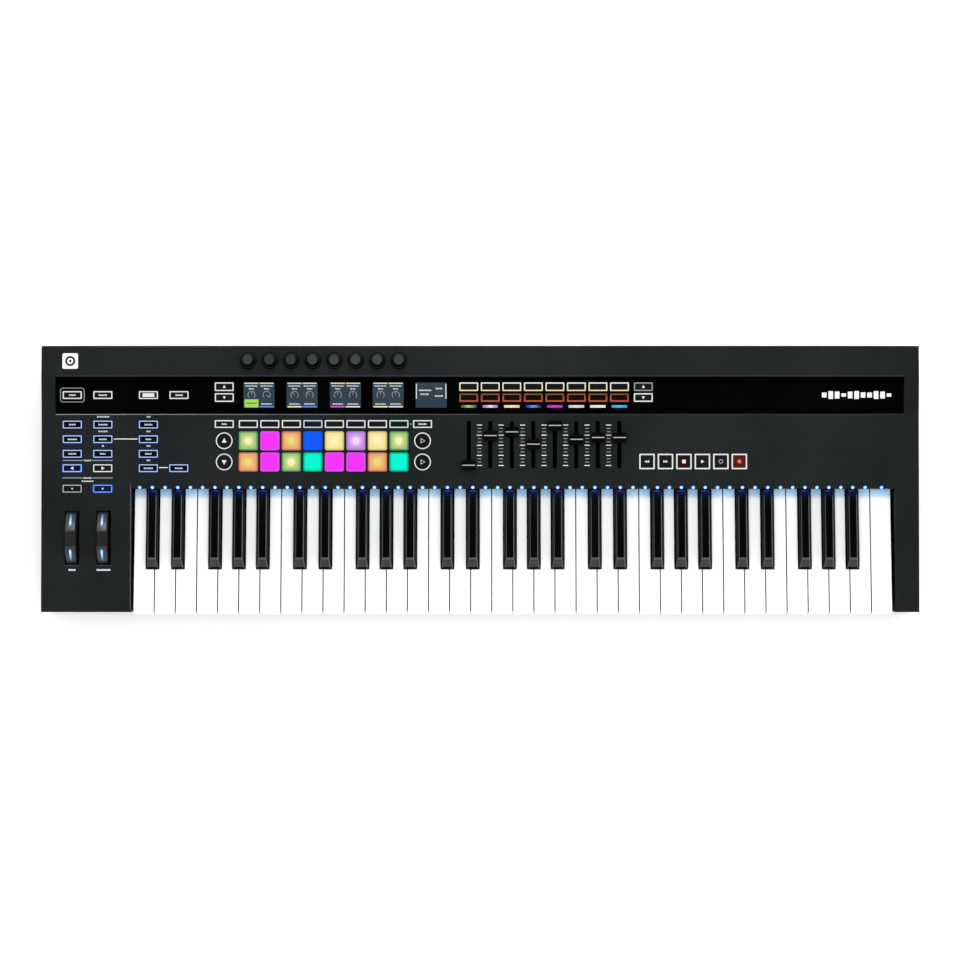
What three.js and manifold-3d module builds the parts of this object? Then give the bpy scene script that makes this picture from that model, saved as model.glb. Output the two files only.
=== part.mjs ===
// A 61-key controller keyboard: case, keybed, wheels, pads, buttons, encoders, faders and rear sockets.
// Millimetres. +X runs along the keys to the treble end, +Y to the rear, +Z up. Z = 0 is the table,
// and X = 0, Y = 0 is the middle of the footprint.
import * as THREE from 'three';
import { mergeVertices } from 'three/addons/utils/BufferGeometryUtils.js';
import Module from 'manifold-3d';

const wasm = await Module();
wasm.setup();

// ---- Driving dimensions -------------------------------------------------------------------------

const CASE_HALF_WIDTH = 487.2;
const CASE_FRONT = -146.5;
const CASE_REAR = 147.5;
const WALL = 3;
const GAP = 0.3;
const PARTING_HEIGHT = 22;
const FRONT_TOP = 57;
const FRONT_UNDERCUT = 4.2;
const FRONT_EDGE = 1.3;
const REAR_EDGE = 1.4;
const REAR_LEAN = 1;

// Each sloping top face starts at a front edge (y, z) and rises to the rear at its own angle.
const DECK = { y: CASE_FRONT, z: FRONT_TOP, angle: 6 };
const STRIP = { y: 71.1, z: heightOn(DECK, 71.1), angle: 11 };
const LEDGE = { y: 113.9, z: heightOn(STRIP, 113.9), angle: 3.5 };

const FLOOR_BOTTOM = 3.5;
const FLOOR_TOP = 6;
const FRONT_RAIL_TOP = 27;
const BASE_FRONT_LEAN = 2.2;
const BASE_FRONT_EDGE = 3;
const BASE_REAR_LEAN = 1.5;
const BASE_REAR_EDGE = { depth: 4.5, height: 5 };
const FOOT_RADIUS = 11;
const FOOT_HEIGHT = 3.2;

// The key bay between the two cheeks, and the keys in it.
const BAY_LEFT = -387.3;
const BAY_RIGHT = 460.3;
const BAY_REAR = -6;
const LIGHT_BAR = { depth: 4.2, topDepth: 1.8, height: 5, chamfer: 2 };
const OCTAVES = 5;
const KEY_PITCH = 23.4;
const KEY_GAP = 1;
const KEYS_LEFT = -385;
const WHITE_TOP = 58;
const WHITE_THICK = 8;
const WHITE_FRONT = -147.5;
const WHITE_REAR = -4;
const LIP_BOTTOM = 39;
const LIP_THICK = 2.2;
const BLACK_TOP = 70;
const BLACK_BOTTOM = 52;
const BLACK_FRONT = -98;
const BLACK_REAR = -10.7;
const BLACK_WIDTH = 13.2;
const BLACK_TOP_WIDTH = 9.8;
const BLACK_NOSE = 10.3;
const BLACK_HEEL = { depth: 2.8, drop: 1.2 };
const BLACK_LIP = { depth: 1.4, rise: 1.6 };
const SHANK_WIDTH = 9;
const BLACK_SHANK_WIDTH = 6;
const KEY_FRAME_FRONT = -136.5;

// Rear rails that the keys of one comb share: lowest and highest corner in (y, z).
const RAIL_C = { y0: 44.6, y1: 50.6, z0: 50, z1: 54 };
const RAIL_D = { y0: 34.2, y1: 41, z0: 44, z1: 48 };
const RAIL_BLACK = { y0: 24, y1: 31, z0: 57, z1: 60.6 };

// Controls repeat at this pitch across the deck.
const COLUMN_PITCH = 23.9;
const COLUMNS = 8;
const PAD_FIRST_X = -257.5;
const PAD_SIZE = 21.3;
const PAD_ROWS = [42.5, 19.1];
const PAD_PROUD = 1.5;
const SELECT_Y = 61;
const PAD_SIDE_X = [-284.2, -64];
const ROUND_RADIUS = 9.5;
const BUTTON = { w: 21.5, d: 9 };
const BUTTON_PROUD = 1;
const SOFT_FIRST_X = -12.7;
const SOFT_ROWS = [101.9, 90.1];
const SOFT = { w: 21.3, d: 9.9 };
const SOFT_ARROW_X = 181.1;
const STRIP_BUTTON_X = [-452.8, -418.9, -368.3, -334.3];
const STRIP_BUTTON_Y = 92.8;
const SCREEN_ARROW_X = -284.1;
const LEFT_COLUMN_X = [-452.9, -419, -368.4, -334.6];
const LEFT_ROW_Y = [60.4, 44.2, 28.1, 12.2, -10.4];
const TRANSPORT_X = 185.2;
const TRANSPORT_Y = 19.6;
const TRANSPORT_PITCH = 20.5;
const TRANSPORT = { w: 17.6, d: 17.6 };
const WEB_TOP = -4;
const WEB_BOTTOM = -5.2;
const CAP_CLEARANCE = 0.35;
const CUT_PAST = 3;

// Sides of the polygons that stand for round holes, shafts, caps and rims.
const SMALL_SIDES = 10;
const CAP_SIDES = 16;
const RIM_SIDES = 28;

const SCREEN_X = [-245.6, -197.8, -149.7, -102.2, -54.4];
const SCREEN_Y = 92.7;
const SCREEN = { w: 34.5, d: 28 };
const WINDOW = { left: -471.5, right: 470.5, y: 92.6, d: 41.2, recess: 1.6, thick: 1.3 };

const ENCODER_Y = 130.5;
const KNOB_HEIGHT = 12.4;
const KNOB_SKIRT = { radius: 8.4, bottom: 0.6, top: 2.8 };
const KNOB_GRIP = { radius: 6.7, topRadius: 5.2, edge: 1.8 };
const SHAFT_RADIUS = 3;
const SHAFT_BOTTOM = -7;

const FADER_SLOT = { w: 4.8, d: 52.4 };
const FADER_SLOT_Y = 38.2;
const FADER_CAP = { w: 15, d: 11, top: 9.3, bottom: 1.2, ridge: 0.9, shoulder: 5.7, lean: 0.5 };
const FADER_STEM = { w: 2.2, d: 4, bottom: -7 };
const FADER_Y = [15.2, 47.9, 52, 38.5, 59.1, 43.8, 45.8, 45.8];

const WHEEL_RADIUS = 34;
const WHEEL_WIDTH = 11.6;
const WHEEL_PROUD = 13.5;
const WHEEL_Y = -64.4;
const WHEEL_SLOT = { w: 16, d: 60 };
const WHEEL_SLOT_X = [-452.8, -417.9];
const WHEEL_SHIFT = -0.9;
const AXLE_RADIUS = 3;
const AXLE_HALF = 9.4;
const NOTCH = { length: 17, depth: 3, slope: 2 };
const BRACKET = { left: -470, right: -401, d: 80, top: FLOOR_TOP + 2.4 };
const UPRIGHT = { thick: 2.2, d: 22, clearance: 1.1, overAxle: 8 };

// Rear sockets, from the bass end to the treble end, on one centre line.
const SOCKET_Z = 54;
const SOCKET_FACE_Y = CASE_REAR - 1.9;
const SOCKET_BOARD_Z = 42.8;
const DIN_X = [-40, -14, 12];
const JACK_X = [52, 76, 100];
const MINI_JACK_X = [132, 148, 164, 180, 196, 212, 228];
const USB_X = -82;
const POWER_X = -150;
const SWITCH_X = -118;
const DIN = { radius: 7.7, core: 6.1, depth: 8, body: 20 };
const JACK = { radius: 3.3, core: 0, depth: 20, body: 15 };
const MINI_JACK = { radius: 1.8, core: 0, depth: 12, body: 8 };
const POWER = { radius: 3.3, core: 1.1, depth: 9, body: 11 };
const USB = { w: 9.4, h: 8.6, tongueW: 5.8, tongueH: 3.4, depth: 12, body: 14 };
const SWITCH = { w: 19, h: 12.6 };
const PANEL = { left: -172, right: 247, bottom: 42.8, top: 65.2, thick: 1.6 };

// ---- Geometry helpers ---------------------------------------------------------------------------

function radians(degrees) {
  return THREE.MathUtils.degToRad(degrees);
}

function heightOn(slope, y) {
  return slope.z + (y - slope.y) * Math.tan(radians(slope.angle));
}

// A closed three.js geometry as a manifold solid.
function solid(geometry) {
  const bare = geometry.clone();
  bare.deleteAttribute('normal');
  bare.deleteAttribute('uv');
  const merged = mergeVertices(bare, 1e-4);
  const vertProperties = new Float32Array(merged.attributes.position.array);
  const triVerts = new Uint32Array(merged.index.array);
  return new wasm.Manifold(new wasm.Mesh({ numProp: 3, vertProperties, triVerts }));
}

function geometryOf(made) {
  const mesh = made.getMesh();
  const geometry = new THREE.BufferGeometry();
  geometry.setAttribute('position', new THREE.BufferAttribute(mesh.vertProperties, 3));
  geometry.setIndex(new THREE.BufferAttribute(mesh.triVerts, 1));
  return geometry;
}

function boxGeometry(x0, x1, y0, y1, z0, z1) {
  const box = new THREE.BoxGeometry(x1 - x0, y1 - y0, z1 - z0);
  return box.translate((x0 + x1) / 2, (y0 + y1) / 2, (z0 + z1) / 2);
}

function box(x0, x1, y0, y1, z0, z1) {
  return solid(boxGeometry(x0, x1, y0, y1, z0, z1));
}

// An outline in (y, z), extruded along X from x0 to x1.
function alongX(points, x0, x1) {
  const shape = new THREE.Shape(points.map(([y, z]) => new THREE.Vector2(y, z)));
  const geometry = new THREE.ExtrudeGeometry(shape, { depth: x1 - x0, bevelEnabled: false });
  const axes = new THREE.Matrix4().set(0, 0, 1, x0, 1, 0, 0, 0, 0, 1, 0, 0, 0, 0, 0, 1);
  return geometry.applyMatrix4(axes);
}

// An outline in (x, y), extruded upwards from z0 to z1.
function upright(points, z0, z1) {
  const shape = new THREE.Shape(points.map(([x, y]) => new THREE.Vector2(x, y)));
  const geometry = new THREE.ExtrudeGeometry(shape, { depth: z1 - z0, bevelEnabled: false });
  return geometry.translate(0, 0, z0);
}

// Moves a geometry whose Z is the face's normal onto a sloping face at (x, y).
function onSlope(slope, x, y, geometry) {
  const place = new THREE.Matrix4().makeRotationX(radians(slope.angle));
  place.setPosition(x, y, heightOn(slope, y));
  return geometry.applyMatrix4(place);
}

// A cylinder along the normal of a face, between two heights over it.
function disc(radius, z0, z1, sides) {
  const cylinder = new THREE.CylinderGeometry(radius, radius, z1 - z0, sides);
  return cylinder.rotateX(Math.PI / 2).translate(0, 0, (z0 + z1) / 2);
}

// A cylinder that points to the rear, between two values of Y.
function rearward(radius, x, z, y0, y1) {
  const cylinder = new THREE.CylinderGeometry(radius, radius, y1 - y0, SMALL_SIDES);
  return solid(cylinder.translate(x, (y0 + y1) / 2, z));
}

function joined(solids) {
  return solids.reduce((sum, next) => sum.add(next));
}

const part = new THREE.Group();

function addPart(name, made, color, roughness, metalness = 0) {
  const material = new THREE.MeshStandardMaterial({ color, roughness, metalness });
  const mesh = new THREE.Mesh(geometryOf(made), material);
  mesh.name = name;
  part.add(mesh);
}

// ---- Places of the controls ---------------------------------------------------------------------

function columnX(first, column) {
  return first + column * COLUMN_PITCH;
}

function cap(x, y, size) {
  return { x, y, w: size.w, d: size.d };
}

function columns(first, y, size) {
  return Array.from({ length: COLUMNS }, (_, column) => cap(columnX(first, column), y, size));
}

const pageCaps = STRIP_BUTTON_X.map((x) => cap(x, STRIP_BUTTON_Y, BUTTON));
const screenArrowCaps = SOFT_ROWS.map((y) => cap(SCREEN_ARROW_X, y, SOFT));
const softCaps = SOFT_ROWS.flatMap((y) => [...columns(SOFT_FIRST_X, y, SOFT), cap(SOFT_ARROW_X, y, SOFT)]);
const leftCaps = [
  ...LEFT_ROW_Y.flatMap((y) => [cap(LEFT_COLUMN_X[0], y, BUTTON), cap(LEFT_COLUMN_X[1], y, BUTTON)]),
  ...LEFT_ROW_Y.slice(0, 4).map((y) => cap(LEFT_COLUMN_X[2], y, BUTTON)),
  cap(LEFT_COLUMN_X[3], LEFT_ROW_Y[3], BUTTON),
];
const screenPlaces = SCREEN_X.map((x) => cap(x, SCREEN_Y, SCREEN));
const selectCaps = columns(PAD_FIRST_X, SELECT_Y, BUTTON);
const padCaps = PAD_ROWS.map((y) => columns(PAD_FIRST_X, y, { w: PAD_SIZE, d: PAD_SIZE }));
const sideCaps = PAD_SIDE_X.map((x) => [
  cap(x, SELECT_Y, BUTTON),
  ...PAD_ROWS.map((y) => ({ x, y, radius: ROUND_RADIUS, w: 2 * ROUND_RADIUS, d: 2 * ROUND_RADIUS })),
]);
const transportCaps = Array.from({ length: 6 }, (_, i) =>
  cap(TRANSPORT_X + i * TRANSPORT_PITCH, TRANSPORT_Y, TRANSPORT));

const stripCaps = [...pageCaps, ...screenArrowCaps, ...softCaps];
const deckCaps = [...leftCaps, ...selectCaps, ...padCaps.flat(), ...sideCaps.flat(), ...transportCaps];

// A cap's plug through a face, grown sideways by spread, between two heights over the face.
function plug(slope, c, spread, z0, z1) {
  if (c.radius) {
    return solid(onSlope(slope, c.x, c.y, disc(c.radius + spread, z0, z1, CAP_SIDES)));
  }
  const w = c.w / 2 + spread;
  const d = c.d / 2 + spread;
  return solid(onSlope(slope, c.x, c.y, boxGeometry(-w, w, -d, d, z0, z1)));
}

// ---- Case ---------------------------------------------------------------------------------------

function topCase() {
  const frontBottom = CASE_FRONT + FRONT_UNDERCUT;
  const rearTop = heightOn(LEDGE, CASE_REAR);
  const outer = [
    [frontBottom, PARTING_HEIGHT],
    [CASE_REAR - REAR_LEAN, PARTING_HEIGHT],
    [CASE_REAR, rearTop - REAR_EDGE],
    [CASE_REAR - REAR_EDGE, rearTop],
    [LEDGE.y, LEDGE.z],
    [STRIP.y, STRIP.z],
    [CASE_FRONT + FRONT_EDGE, heightOn(DECK, CASE_FRONT + FRONT_EDGE)],
    [CASE_FRONT, FRONT_TOP - FRONT_EDGE],
  ];
  const inner = [
    [frontBottom + WALL, 0],
    [CASE_REAR - WALL, 0],
    [CASE_REAR - WALL, rearTop - WALL],
    [LEDGE.y, LEDGE.z - WALL],
    [STRIP.y, STRIP.z - WALL],
    [CASE_FRONT + WALL, FRONT_TOP - WALL],
  ];
  const rearInner = [
    [BAY_REAR, 0],
    [CASE_REAR - WALL, 0],
    [CASE_REAR - WALL, rearTop - WALL],
    [LEDGE.y, LEDGE.z - WALL],
    [STRIP.y, STRIP.z - WALL],
    [BAY_REAR, heightOn(DECK, BAY_REAR) - WALL],
  ];
  const hollows = joined([
    solid(alongX(inner, -CASE_HALF_WIDTH + WALL, BAY_LEFT - WALL)),
    solid(alongX(inner, BAY_RIGHT + WALL, CASE_HALF_WIDTH - WALL)),
    solid(alongX(rearInner, -CASE_HALF_WIDTH + WALL, CASE_HALF_WIDTH - WALL)),
    box(BAY_LEFT, BAY_RIGHT, CASE_FRONT - 10, BAY_REAR, 0, 100),
  ]);
  const shell = solid(alongX(outer, -CASE_HALF_WIDTH, CASE_HALF_WIDTH));
  return shell.subtract(hollows).subtract(topCaseHoles());
}

function topCaseHoles() {
  const through = WALL + 2;
  const windowMiddle = (WINDOW.left + WINDOW.right) / 2;
  const windowHalf = (WINDOW.right - WINDOW.left) / 2 + GAP;
  const windowDepth = WINDOW.d / 2 + GAP;
  const recess = boxGeometry(-windowHalf, windowHalf, -windowDepth, windowDepth, -WINDOW.recess, CUT_PAST);
  const holes = [
    solid(onSlope(STRIP, windowMiddle, WINDOW.y, recess)),
    ...stripCaps.map((c) => plug(STRIP, c, CAP_CLEARANCE, -through, CUT_PAST)),
    ...screenPlaces.map((c) => plug(STRIP, c, CAP_CLEARANCE, -through, CUT_PAST)),
    ...deckCaps.map((c) => plug(DECK, c, CAP_CLEARANCE, -through, CUT_PAST)),
    ...WHEEL_SLOT_X.map((x) => plug(DECK, cap(x, WHEEL_Y, WHEEL_SLOT), 0, -through, CUT_PAST)),
  ];
  for (let column = 0; column < COLUMNS; column += 1) {
    const slot = cap(columnX(SOFT_FIRST_X, column), FADER_SLOT_Y, FADER_SLOT);
    holes.push(plug(DECK, slot, 0, -through, CUT_PAST));
    const bore = disc(SHAFT_RADIUS + 0.7, -through, CUT_PAST, SMALL_SIDES);
    holes.push(solid(onSlope(LEDGE, columnX(PAD_FIRST_X, column), ENCODER_Y, bore)));
  }
  return joined([...holes, rearWindow()]);
}

// The window in the rear wall that the socket panel fills.
function rearWindow() {
  const { left, right, bottom, top } = PANEL;
  const inner = CASE_REAR - WALL - 2;
  return box(left - GAP, right + GAP, inner, CASE_REAR + CUT_PAST, bottom - GAP, top + GAP);
}

function bottomCase() {
  const wallTop = PARTING_HEIGHT - GAP;
  const frontTop = CASE_FRONT + FRONT_UNDERCUT;
  const frontBottom = frontTop + BASE_FRONT_LEAN;
  const rearBottom = CASE_REAR - BASE_REAR_LEAN;
  const outer = [
    [frontBottom + BASE_FRONT_EDGE, FLOOR_BOTTOM],
    [rearBottom - BASE_REAR_EDGE.depth, FLOOR_BOTTOM],
    [rearBottom, FLOOR_BOTTOM + BASE_REAR_EDGE.height],
    [CASE_REAR - REAR_LEAN, wallTop],
    [frontTop, wallTop],
    [frontBottom, FLOOR_BOTTOM + BASE_FRONT_EDGE],
  ];
  const shell = solid(alongX(outer, -CASE_HALF_WIDTH, CASE_HALF_WIDTH));
  const inside = box(
    -CASE_HALF_WIDTH + WALL,
    CASE_HALF_WIDTH - WALL,
    frontBottom + WALL,
    rearBottom - WALL,
    FLOOR_TOP,
    wallTop + 10,
  );
  const rail = [
    [frontTop, wallTop - 1],
    [frontTop + WALL, wallTop - 1],
    [frontTop + WALL, FRONT_RAIL_TOP],
    [frontTop - 0.7, FRONT_RAIL_TOP],
  ];
  const bottom = shell.subtract(inside).add(solid(alongX(rail, BAY_LEFT + 1, BAY_RIGHT - 1)));
  return bottom.subtract(endChamfer(-1)).subtract(endChamfer(1));
}

// The wedge that is cut off the bottom edge at one end of the case.
function endChamfer(side) {
  const size = 5;
  const wedge = boxGeometry(-size, size, -200, 200, -size, size).rotateY(Math.PI / 4);
  return solid(wedge.translate(side * (CASE_HALF_WIDTH + 1.5), 0, FLOOR_BOTTOM - 1.5));
}

function foot(x, y) {
  const profile = [
    [0, 0],
    [FOOT_RADIUS - 1, 0],
    [FOOT_RADIUS, 1],
    [FOOT_RADIUS - 0.4, FOOT_HEIGHT],
    [0, FOOT_HEIGHT],
  ];
  const points = profile.map(([r, z]) => new THREE.Vector2(r, z));
  const lathe = new THREE.LatheGeometry(points, CAP_SIDES).rotateX(Math.PI / 2);
  return solid(lathe.translate(x, y, 0));
}

// ---- Keybed -------------------------------------------------------------------------------------

// White keys of an octave are numbered 0 to 6. A black key sits near the line between two of them,
// shifted by some millimetres to the bass side or the treble side.
const BLACK_KEYS = [
  { line: 1, shift: -2.4 },
  { line: 2, shift: 2.4 },
  { line: 4, shift: -3.1 },
  { line: 5, shift: 0 },
  { line: 6, shift: 3.1 },
];

function blackX(octave, key) {
  return KEYS_LEFT + (octave * 7 + key.line) * KEY_PITCH + key.shift;
}

// The plan of a white key: a full-width head, and a tail that leaves room for the black keys beside it.
function whitePlan(octave, index) {
  const left = KEYS_LEFT + (octave * 7 + index) * KEY_PITCH + KEY_GAP / 2;
  const right = left + KEY_PITCH - KEY_GAP;
  const room = BLACK_WIDTH / 2 + KEY_GAP;
  const shoulder = BLACK_FRONT - KEY_GAP;
  const lower = octave < OCTAVES ? BLACK_KEYS.find((key) => key.line === index) : undefined;
  const upper = octave < OCTAVES ? BLACK_KEYS.find((key) => key.line === index + 1) : undefined;
  const tailLeft = lower ? blackX(octave, lower) + room : left;
  const tailRight = upper ? blackX(octave, upper) - room : right;
  const points = [[left, WHITE_FRONT], [right, WHITE_FRONT]];
  if (upper) points.push([right, shoulder], [tailRight, shoulder]);
  points.push([tailRight, WHITE_REAR], [tailLeft, WHITE_REAR]);
  if (lower) points.push([tailLeft, shoulder], [left, shoulder]);
  return { left, right, points, middle: (tailLeft + tailRight) / 2 };
}

// One white key: its top block, its front lip and the shank that runs back to the comb's rail.
function whiteKey(octave, index, rail) {
  const plan = whitePlan(octave, index);
  const shank = [plan.middle - SHANK_WIDTH / 2, plan.middle + SHANK_WIDTH / 2];
  const pieces = [
    solid(upright(plan.points, WHITE_TOP - WHITE_THICK, WHITE_TOP)),
    box(plan.left, plan.right, WHITE_FRONT, WHITE_FRONT + LIP_THICK, LIP_BOTTOM, WHITE_TOP - 1),
    box(...shank, WHITE_REAR - 1, rail.y1, RAIL_C.z0, RAIL_C.z1),
    box(...shank, rail.y0, rail.y1, rail.z0, RAIL_C.z1),
  ];
  return { made: joined(pieces), shank };
}

function whiteComb(octave, indices, rail) {
  const keys = indices.map((index) => whiteKey(octave, index, rail));
  const left = keys[0].shank[0];
  const right = keys[keys.length - 1].shank[1];
  return joined([...keys.map((key) => key.made), box(left, right, rail.y0, rail.y1, rail.z0, rail.z1)]);
}

// One black key: a block with a sloping nose and heel and sides that lean in, on a shank to the rail.
function blackKey(x) {
  const side = [
    [BLACK_FRONT, BLACK_BOTTOM],
    [BLACK_REAR, BLACK_BOTTOM],
    [BLACK_REAR, BLACK_TOP - BLACK_HEEL.drop],
    [BLACK_REAR - BLACK_HEEL.depth, BLACK_TOP],
    [BLACK_FRONT + BLACK_NOSE, BLACK_TOP],
    [BLACK_FRONT + BLACK_LIP.depth, WHITE_TOP + BLACK_LIP.rise],
    [BLACK_FRONT, WHITE_TOP],
  ];
  const front = [
    [x - BLACK_WIDTH / 2, BLACK_BOTTOM],
    [x + BLACK_WIDTH / 2, BLACK_BOTTOM],
    [x + BLACK_WIDTH / 2, WHITE_TOP],
    [x + BLACK_TOP_WIDTH / 2, BLACK_TOP],
    [x - BLACK_TOP_WIDTH / 2, BLACK_TOP],
    [x - BLACK_WIDTH / 2, WHITE_TOP],
  ];
  const length = BLACK_REAR - BLACK_FRONT;
  const taper = upright(front, 0, length).rotateX(Math.PI / 2).translate(0, BLACK_REAR, 0);
  const block = solid(alongX(side, x - BLACK_WIDTH / 2, x + BLACK_WIDTH / 2));
  const half = BLACK_SHANK_WIDTH / 2;
  const shank = box(x - half, x + half, BLACK_REAR - 1, RAIL_BLACK.y1, RAIL_BLACK.z0, RAIL_BLACK.z1);
  return block.intersect(solid(taper)).add(shank);
}

function blackComb(octave) {
  const places = BLACK_KEYS.map((key) => blackX(octave, key));
  const half = BLACK_SHANK_WIDTH / 2;
  const { y0, y1, z0, z1 } = RAIL_BLACK;
  return joined([...places.map(blackKey), box(places[0] - half, places[4] + half, y0, y1, z0, z1)]);
}

// A folded-sheet chassis: floor, front wall, two board ribs, stepped hinge seats, rear wall and top lip.
function keyFrame() {
  const sheets = [
    { y0: KEY_FRAME_FRONT, y1: 54, z0: 12, z1: 14 },
    { y0: KEY_FRAME_FRONT, y1: KEY_FRAME_FRONT + 2, z0: 13, z1: 36 },
    { y0: -58, y1: -56, z0: 13, z1: 29.6 },
    { y0: -24, y1: -22, z0: 13, z1: 29.6 },
    { y0: 31.5, y1: 33.5, z0: 13, z1: 43.6 },
    { y0: 31.5, y1: 45.6, z0: 41.6, z1: 43.6 },
    { y0: 43.6, y1: 45.6, z0: 41.6, z1: 49.6 },
    { y0: 43.6, y1: 54, z0: 47.6, z1: 49.6 },
    { y0: 52, y1: 54, z0: 12, z1: 63.5 },
    { y0: 22, y1: 54, z0: 61.7, z1: 63.5 },
  ];
  return joined(sheets.map(({ y0, y1, z0, z1 }) => box(BAY_LEFT + 2, BAY_RIGHT - 2, y0, y1, z0, z1)));
}

// The strip of felt on the front wall of the chassis that the pressed keys land on.
function keyFelt() {
  return box(BAY_LEFT + 3, BAY_RIGHT - 3, KEY_FRAME_FRONT - 2, KEY_FRAME_FRONT + 5, 36.3, 39.3);
}

// The contact board with its strip of rubber domes under the keys.
function keyContactBoard() {
  const left = BAY_LEFT + 4;
  const right = BAY_RIGHT - 4;
  return box(left, right, -62, -18, 30, 31.6).add(box(left, right, -48, -36, 31.5, 36));
}

// The bar of key lights along the front edge of the deck, with a chamfer that faces the player.
function keyLightBar() {
  const { depth, topDepth, height, chamfer } = LIGHT_BAR;
  const top = heightOn(DECK, BAY_REAR) - GAP;
  const profile = [
    [BAY_REAR - depth, top - height],
    [BAY_REAR - GAP, top - height],
    [BAY_REAR - GAP, top],
    [BAY_REAR - topDepth, top],
    [BAY_REAR - depth, top - chamfer],
  ];
  return solid(alongX(profile, BAY_LEFT + GAP, BAY_RIGHT - GAP));
}

// ---- Controls -----------------------------------------------------------------------------------

// A rubber mat: a thin web under the panel, and the caps that stand on it and reach through.
function mat(slope, caps, proud, webs) {
  const web = webs.map(([x0, x1, y0, y1]) => {
    const x = (x0 + x1) / 2;
    const y = (y0 + y1) / 2;
    return plug(slope, cap(x, y, { w: x1 - x0, d: y1 - y0 }), 0, WEB_BOTTOM, WEB_TOP);
  });
  return joined([...web, ...caps.map((c) => plug(slope, c, 0, WEB_TOP - 0.5, proud))]);
}

// The rectangle around some caps, in plan.
function around(caps) {
  return [
    Math.min(...caps.map((c) => c.x - c.w / 2)),
    Math.max(...caps.map((c) => c.x + c.w / 2)),
    Math.min(...caps.map((c) => c.y - c.d / 2)),
    Math.max(...caps.map((c) => c.y + c.d / 2)),
  ];
}

// A mat whose web is the one rectangle around its caps.
function rowMat(slope, caps, proud) {
  return mat(slope, caps, proud, [around(caps)]);
}

// The buttons over the pads and at both ends of them, on one web that bends round the pads.
function padFunctionMat() {
  const caps = [...selectCaps, ...sideCaps.flat()];
  const row = around([...selectCaps, sideCaps[0][0], sideCaps[1][0]]);
  return mat(DECK, caps, BUTTON_PROUD, [row, around(sideCaps[0]), around(sideCaps[1])]);
}

function leftMat() {
  const tall = around(leftCaps.slice(0, 10));
  const wide = around(leftCaps.slice(10));
  return mat(DECK, leftCaps, BUTTON_PROUD, [tall, [tall[0], wide[1], wide[2], wide[3]]]);
}

// An encoder knob with its skirt, tapering grip and shaft.
function knob(x) {
  const profile = [
    [0, SHAFT_BOTTOM],
    [SHAFT_RADIUS, SHAFT_BOTTOM],
    [SHAFT_RADIUS, KNOB_SKIRT.bottom],
    [KNOB_SKIRT.radius, KNOB_SKIRT.bottom],
    [KNOB_SKIRT.radius, KNOB_SKIRT.top],
    [KNOB_GRIP.radius, KNOB_HEIGHT - KNOB_GRIP.edge],
    [KNOB_GRIP.topRadius, KNOB_HEIGHT],
    [0, KNOB_HEIGHT],
  ];
  const points = profile.map(([r, z]) => new THREE.Vector2(r, z));
  const lathe = new THREE.LatheGeometry(points, CAP_SIDES).rotateX(Math.PI / 2);
  return solid(onSlope(LEDGE, x, ENCODER_Y, lathe));
}

// A fader cap with its ridge, on a flat stem that reaches down into the slide.
function fader(x, y) {
  const { w, d, top, bottom, ridge, shoulder, lean } = FADER_CAP;
  const profile = [
    [-d / 2, bottom],
    [d / 2, bottom],
    [d / 2 - lean, shoulder],
    [ridge, top],
    [-ridge, top],
    [-d / 2 + lean, shoulder],
  ];
  const stemW = FADER_STEM.w / 2;
  const stemD = FADER_STEM.d / 2;
  const stem = boxGeometry(-stemW, stemW, -stemD, stemD, FADER_STEM.bottom, bottom + 1);
  const grip = solid(onSlope(DECK, x, y, alongX(profile, -w / 2, w / 2)));
  return grip.add(solid(onSlope(DECK, x, y, stem)));
}

function wheelCentre(slotX) {
  const tilt = radians(DECK.angle);
  const sunk = WHEEL_RADIUS - WHEEL_PROUD;
  const y = WHEEL_Y + sunk * Math.sin(tilt);
  const z = heightOn(DECK, WHEEL_Y) - sunk * Math.cos(tilt);
  return new THREE.Vector3(slotX + WHEEL_SHIFT, y, z);
}

// A control wheel: a rim with a finger notch at the top, on an axle.
function wheel(slotX) {
  const rim = new THREE.CylinderGeometry(WHEEL_RADIUS, WHEEL_RADIUS, WHEEL_WIDTH, RIM_SIDES);
  const axle = new THREE.CylinderGeometry(AXLE_RADIUS, AXLE_RADIUS, 2 * AXLE_HALF, SMALL_SIDES);
  const half = NOTCH.length / 2;
  const flat = half - NOTCH.slope;
  const low = WHEEL_RADIUS - NOTCH.depth;
  const high = WHEEL_RADIUS + 1;
  const section = [[-flat, low], [flat, low], [half, high], [-half, high]];
  const notch = alongX(section, -WHEEL_WIDTH, WHEEL_WIDTH);
  const centre = wheelCentre(slotX);
  const made = solid(rim.rotateZ(Math.PI / 2)).add(solid(axle.rotateZ(Math.PI / 2)));
  const cut = made.subtract(solid(notch.rotateX(radians(DECK.angle))));
  return cut.translate([centre.x, centre.y, centre.z]);
}

// The bracket under the wheels: a base plate and four uprights with bearing holes.
function wheelBracket() {
  const { left, right, top } = BRACKET;
  const front = WHEEL_Y - BRACKET.d / 2;
  const rear = WHEEL_Y + BRACKET.d / 2;
  const pieces = [box(left, right, front, rear, FLOOR_TOP + GAP, top)];
  const bores = [];
  for (const slotX of WHEEL_SLOT_X) {
    const { x, y, z } = wheelCentre(slotX);
    for (const side of [-1, 1]) {
      const half = UPRIGHT.thick / 2;
      const d = UPRIGHT.d / 2;
      const middle = x + side * (WHEEL_WIDTH / 2 + UPRIGHT.clearance + half);
      pieces.push(box(middle - half, middle + half, y - d, y + d, top - 0.5, z + UPRIGHT.overAxle));
    }
    const bore = new THREE.CylinderGeometry(AXLE_RADIUS + 0.4, AXLE_RADIUS + 0.4, 60, SMALL_SIDES);
    bores.push(solid(bore.rotateZ(Math.PI / 2).translate(x, y, z)));
  }
  return joined(pieces).subtract(joined(bores));
}

// ---- Boards, screens and sockets ----------------------------------------------------------------

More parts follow.
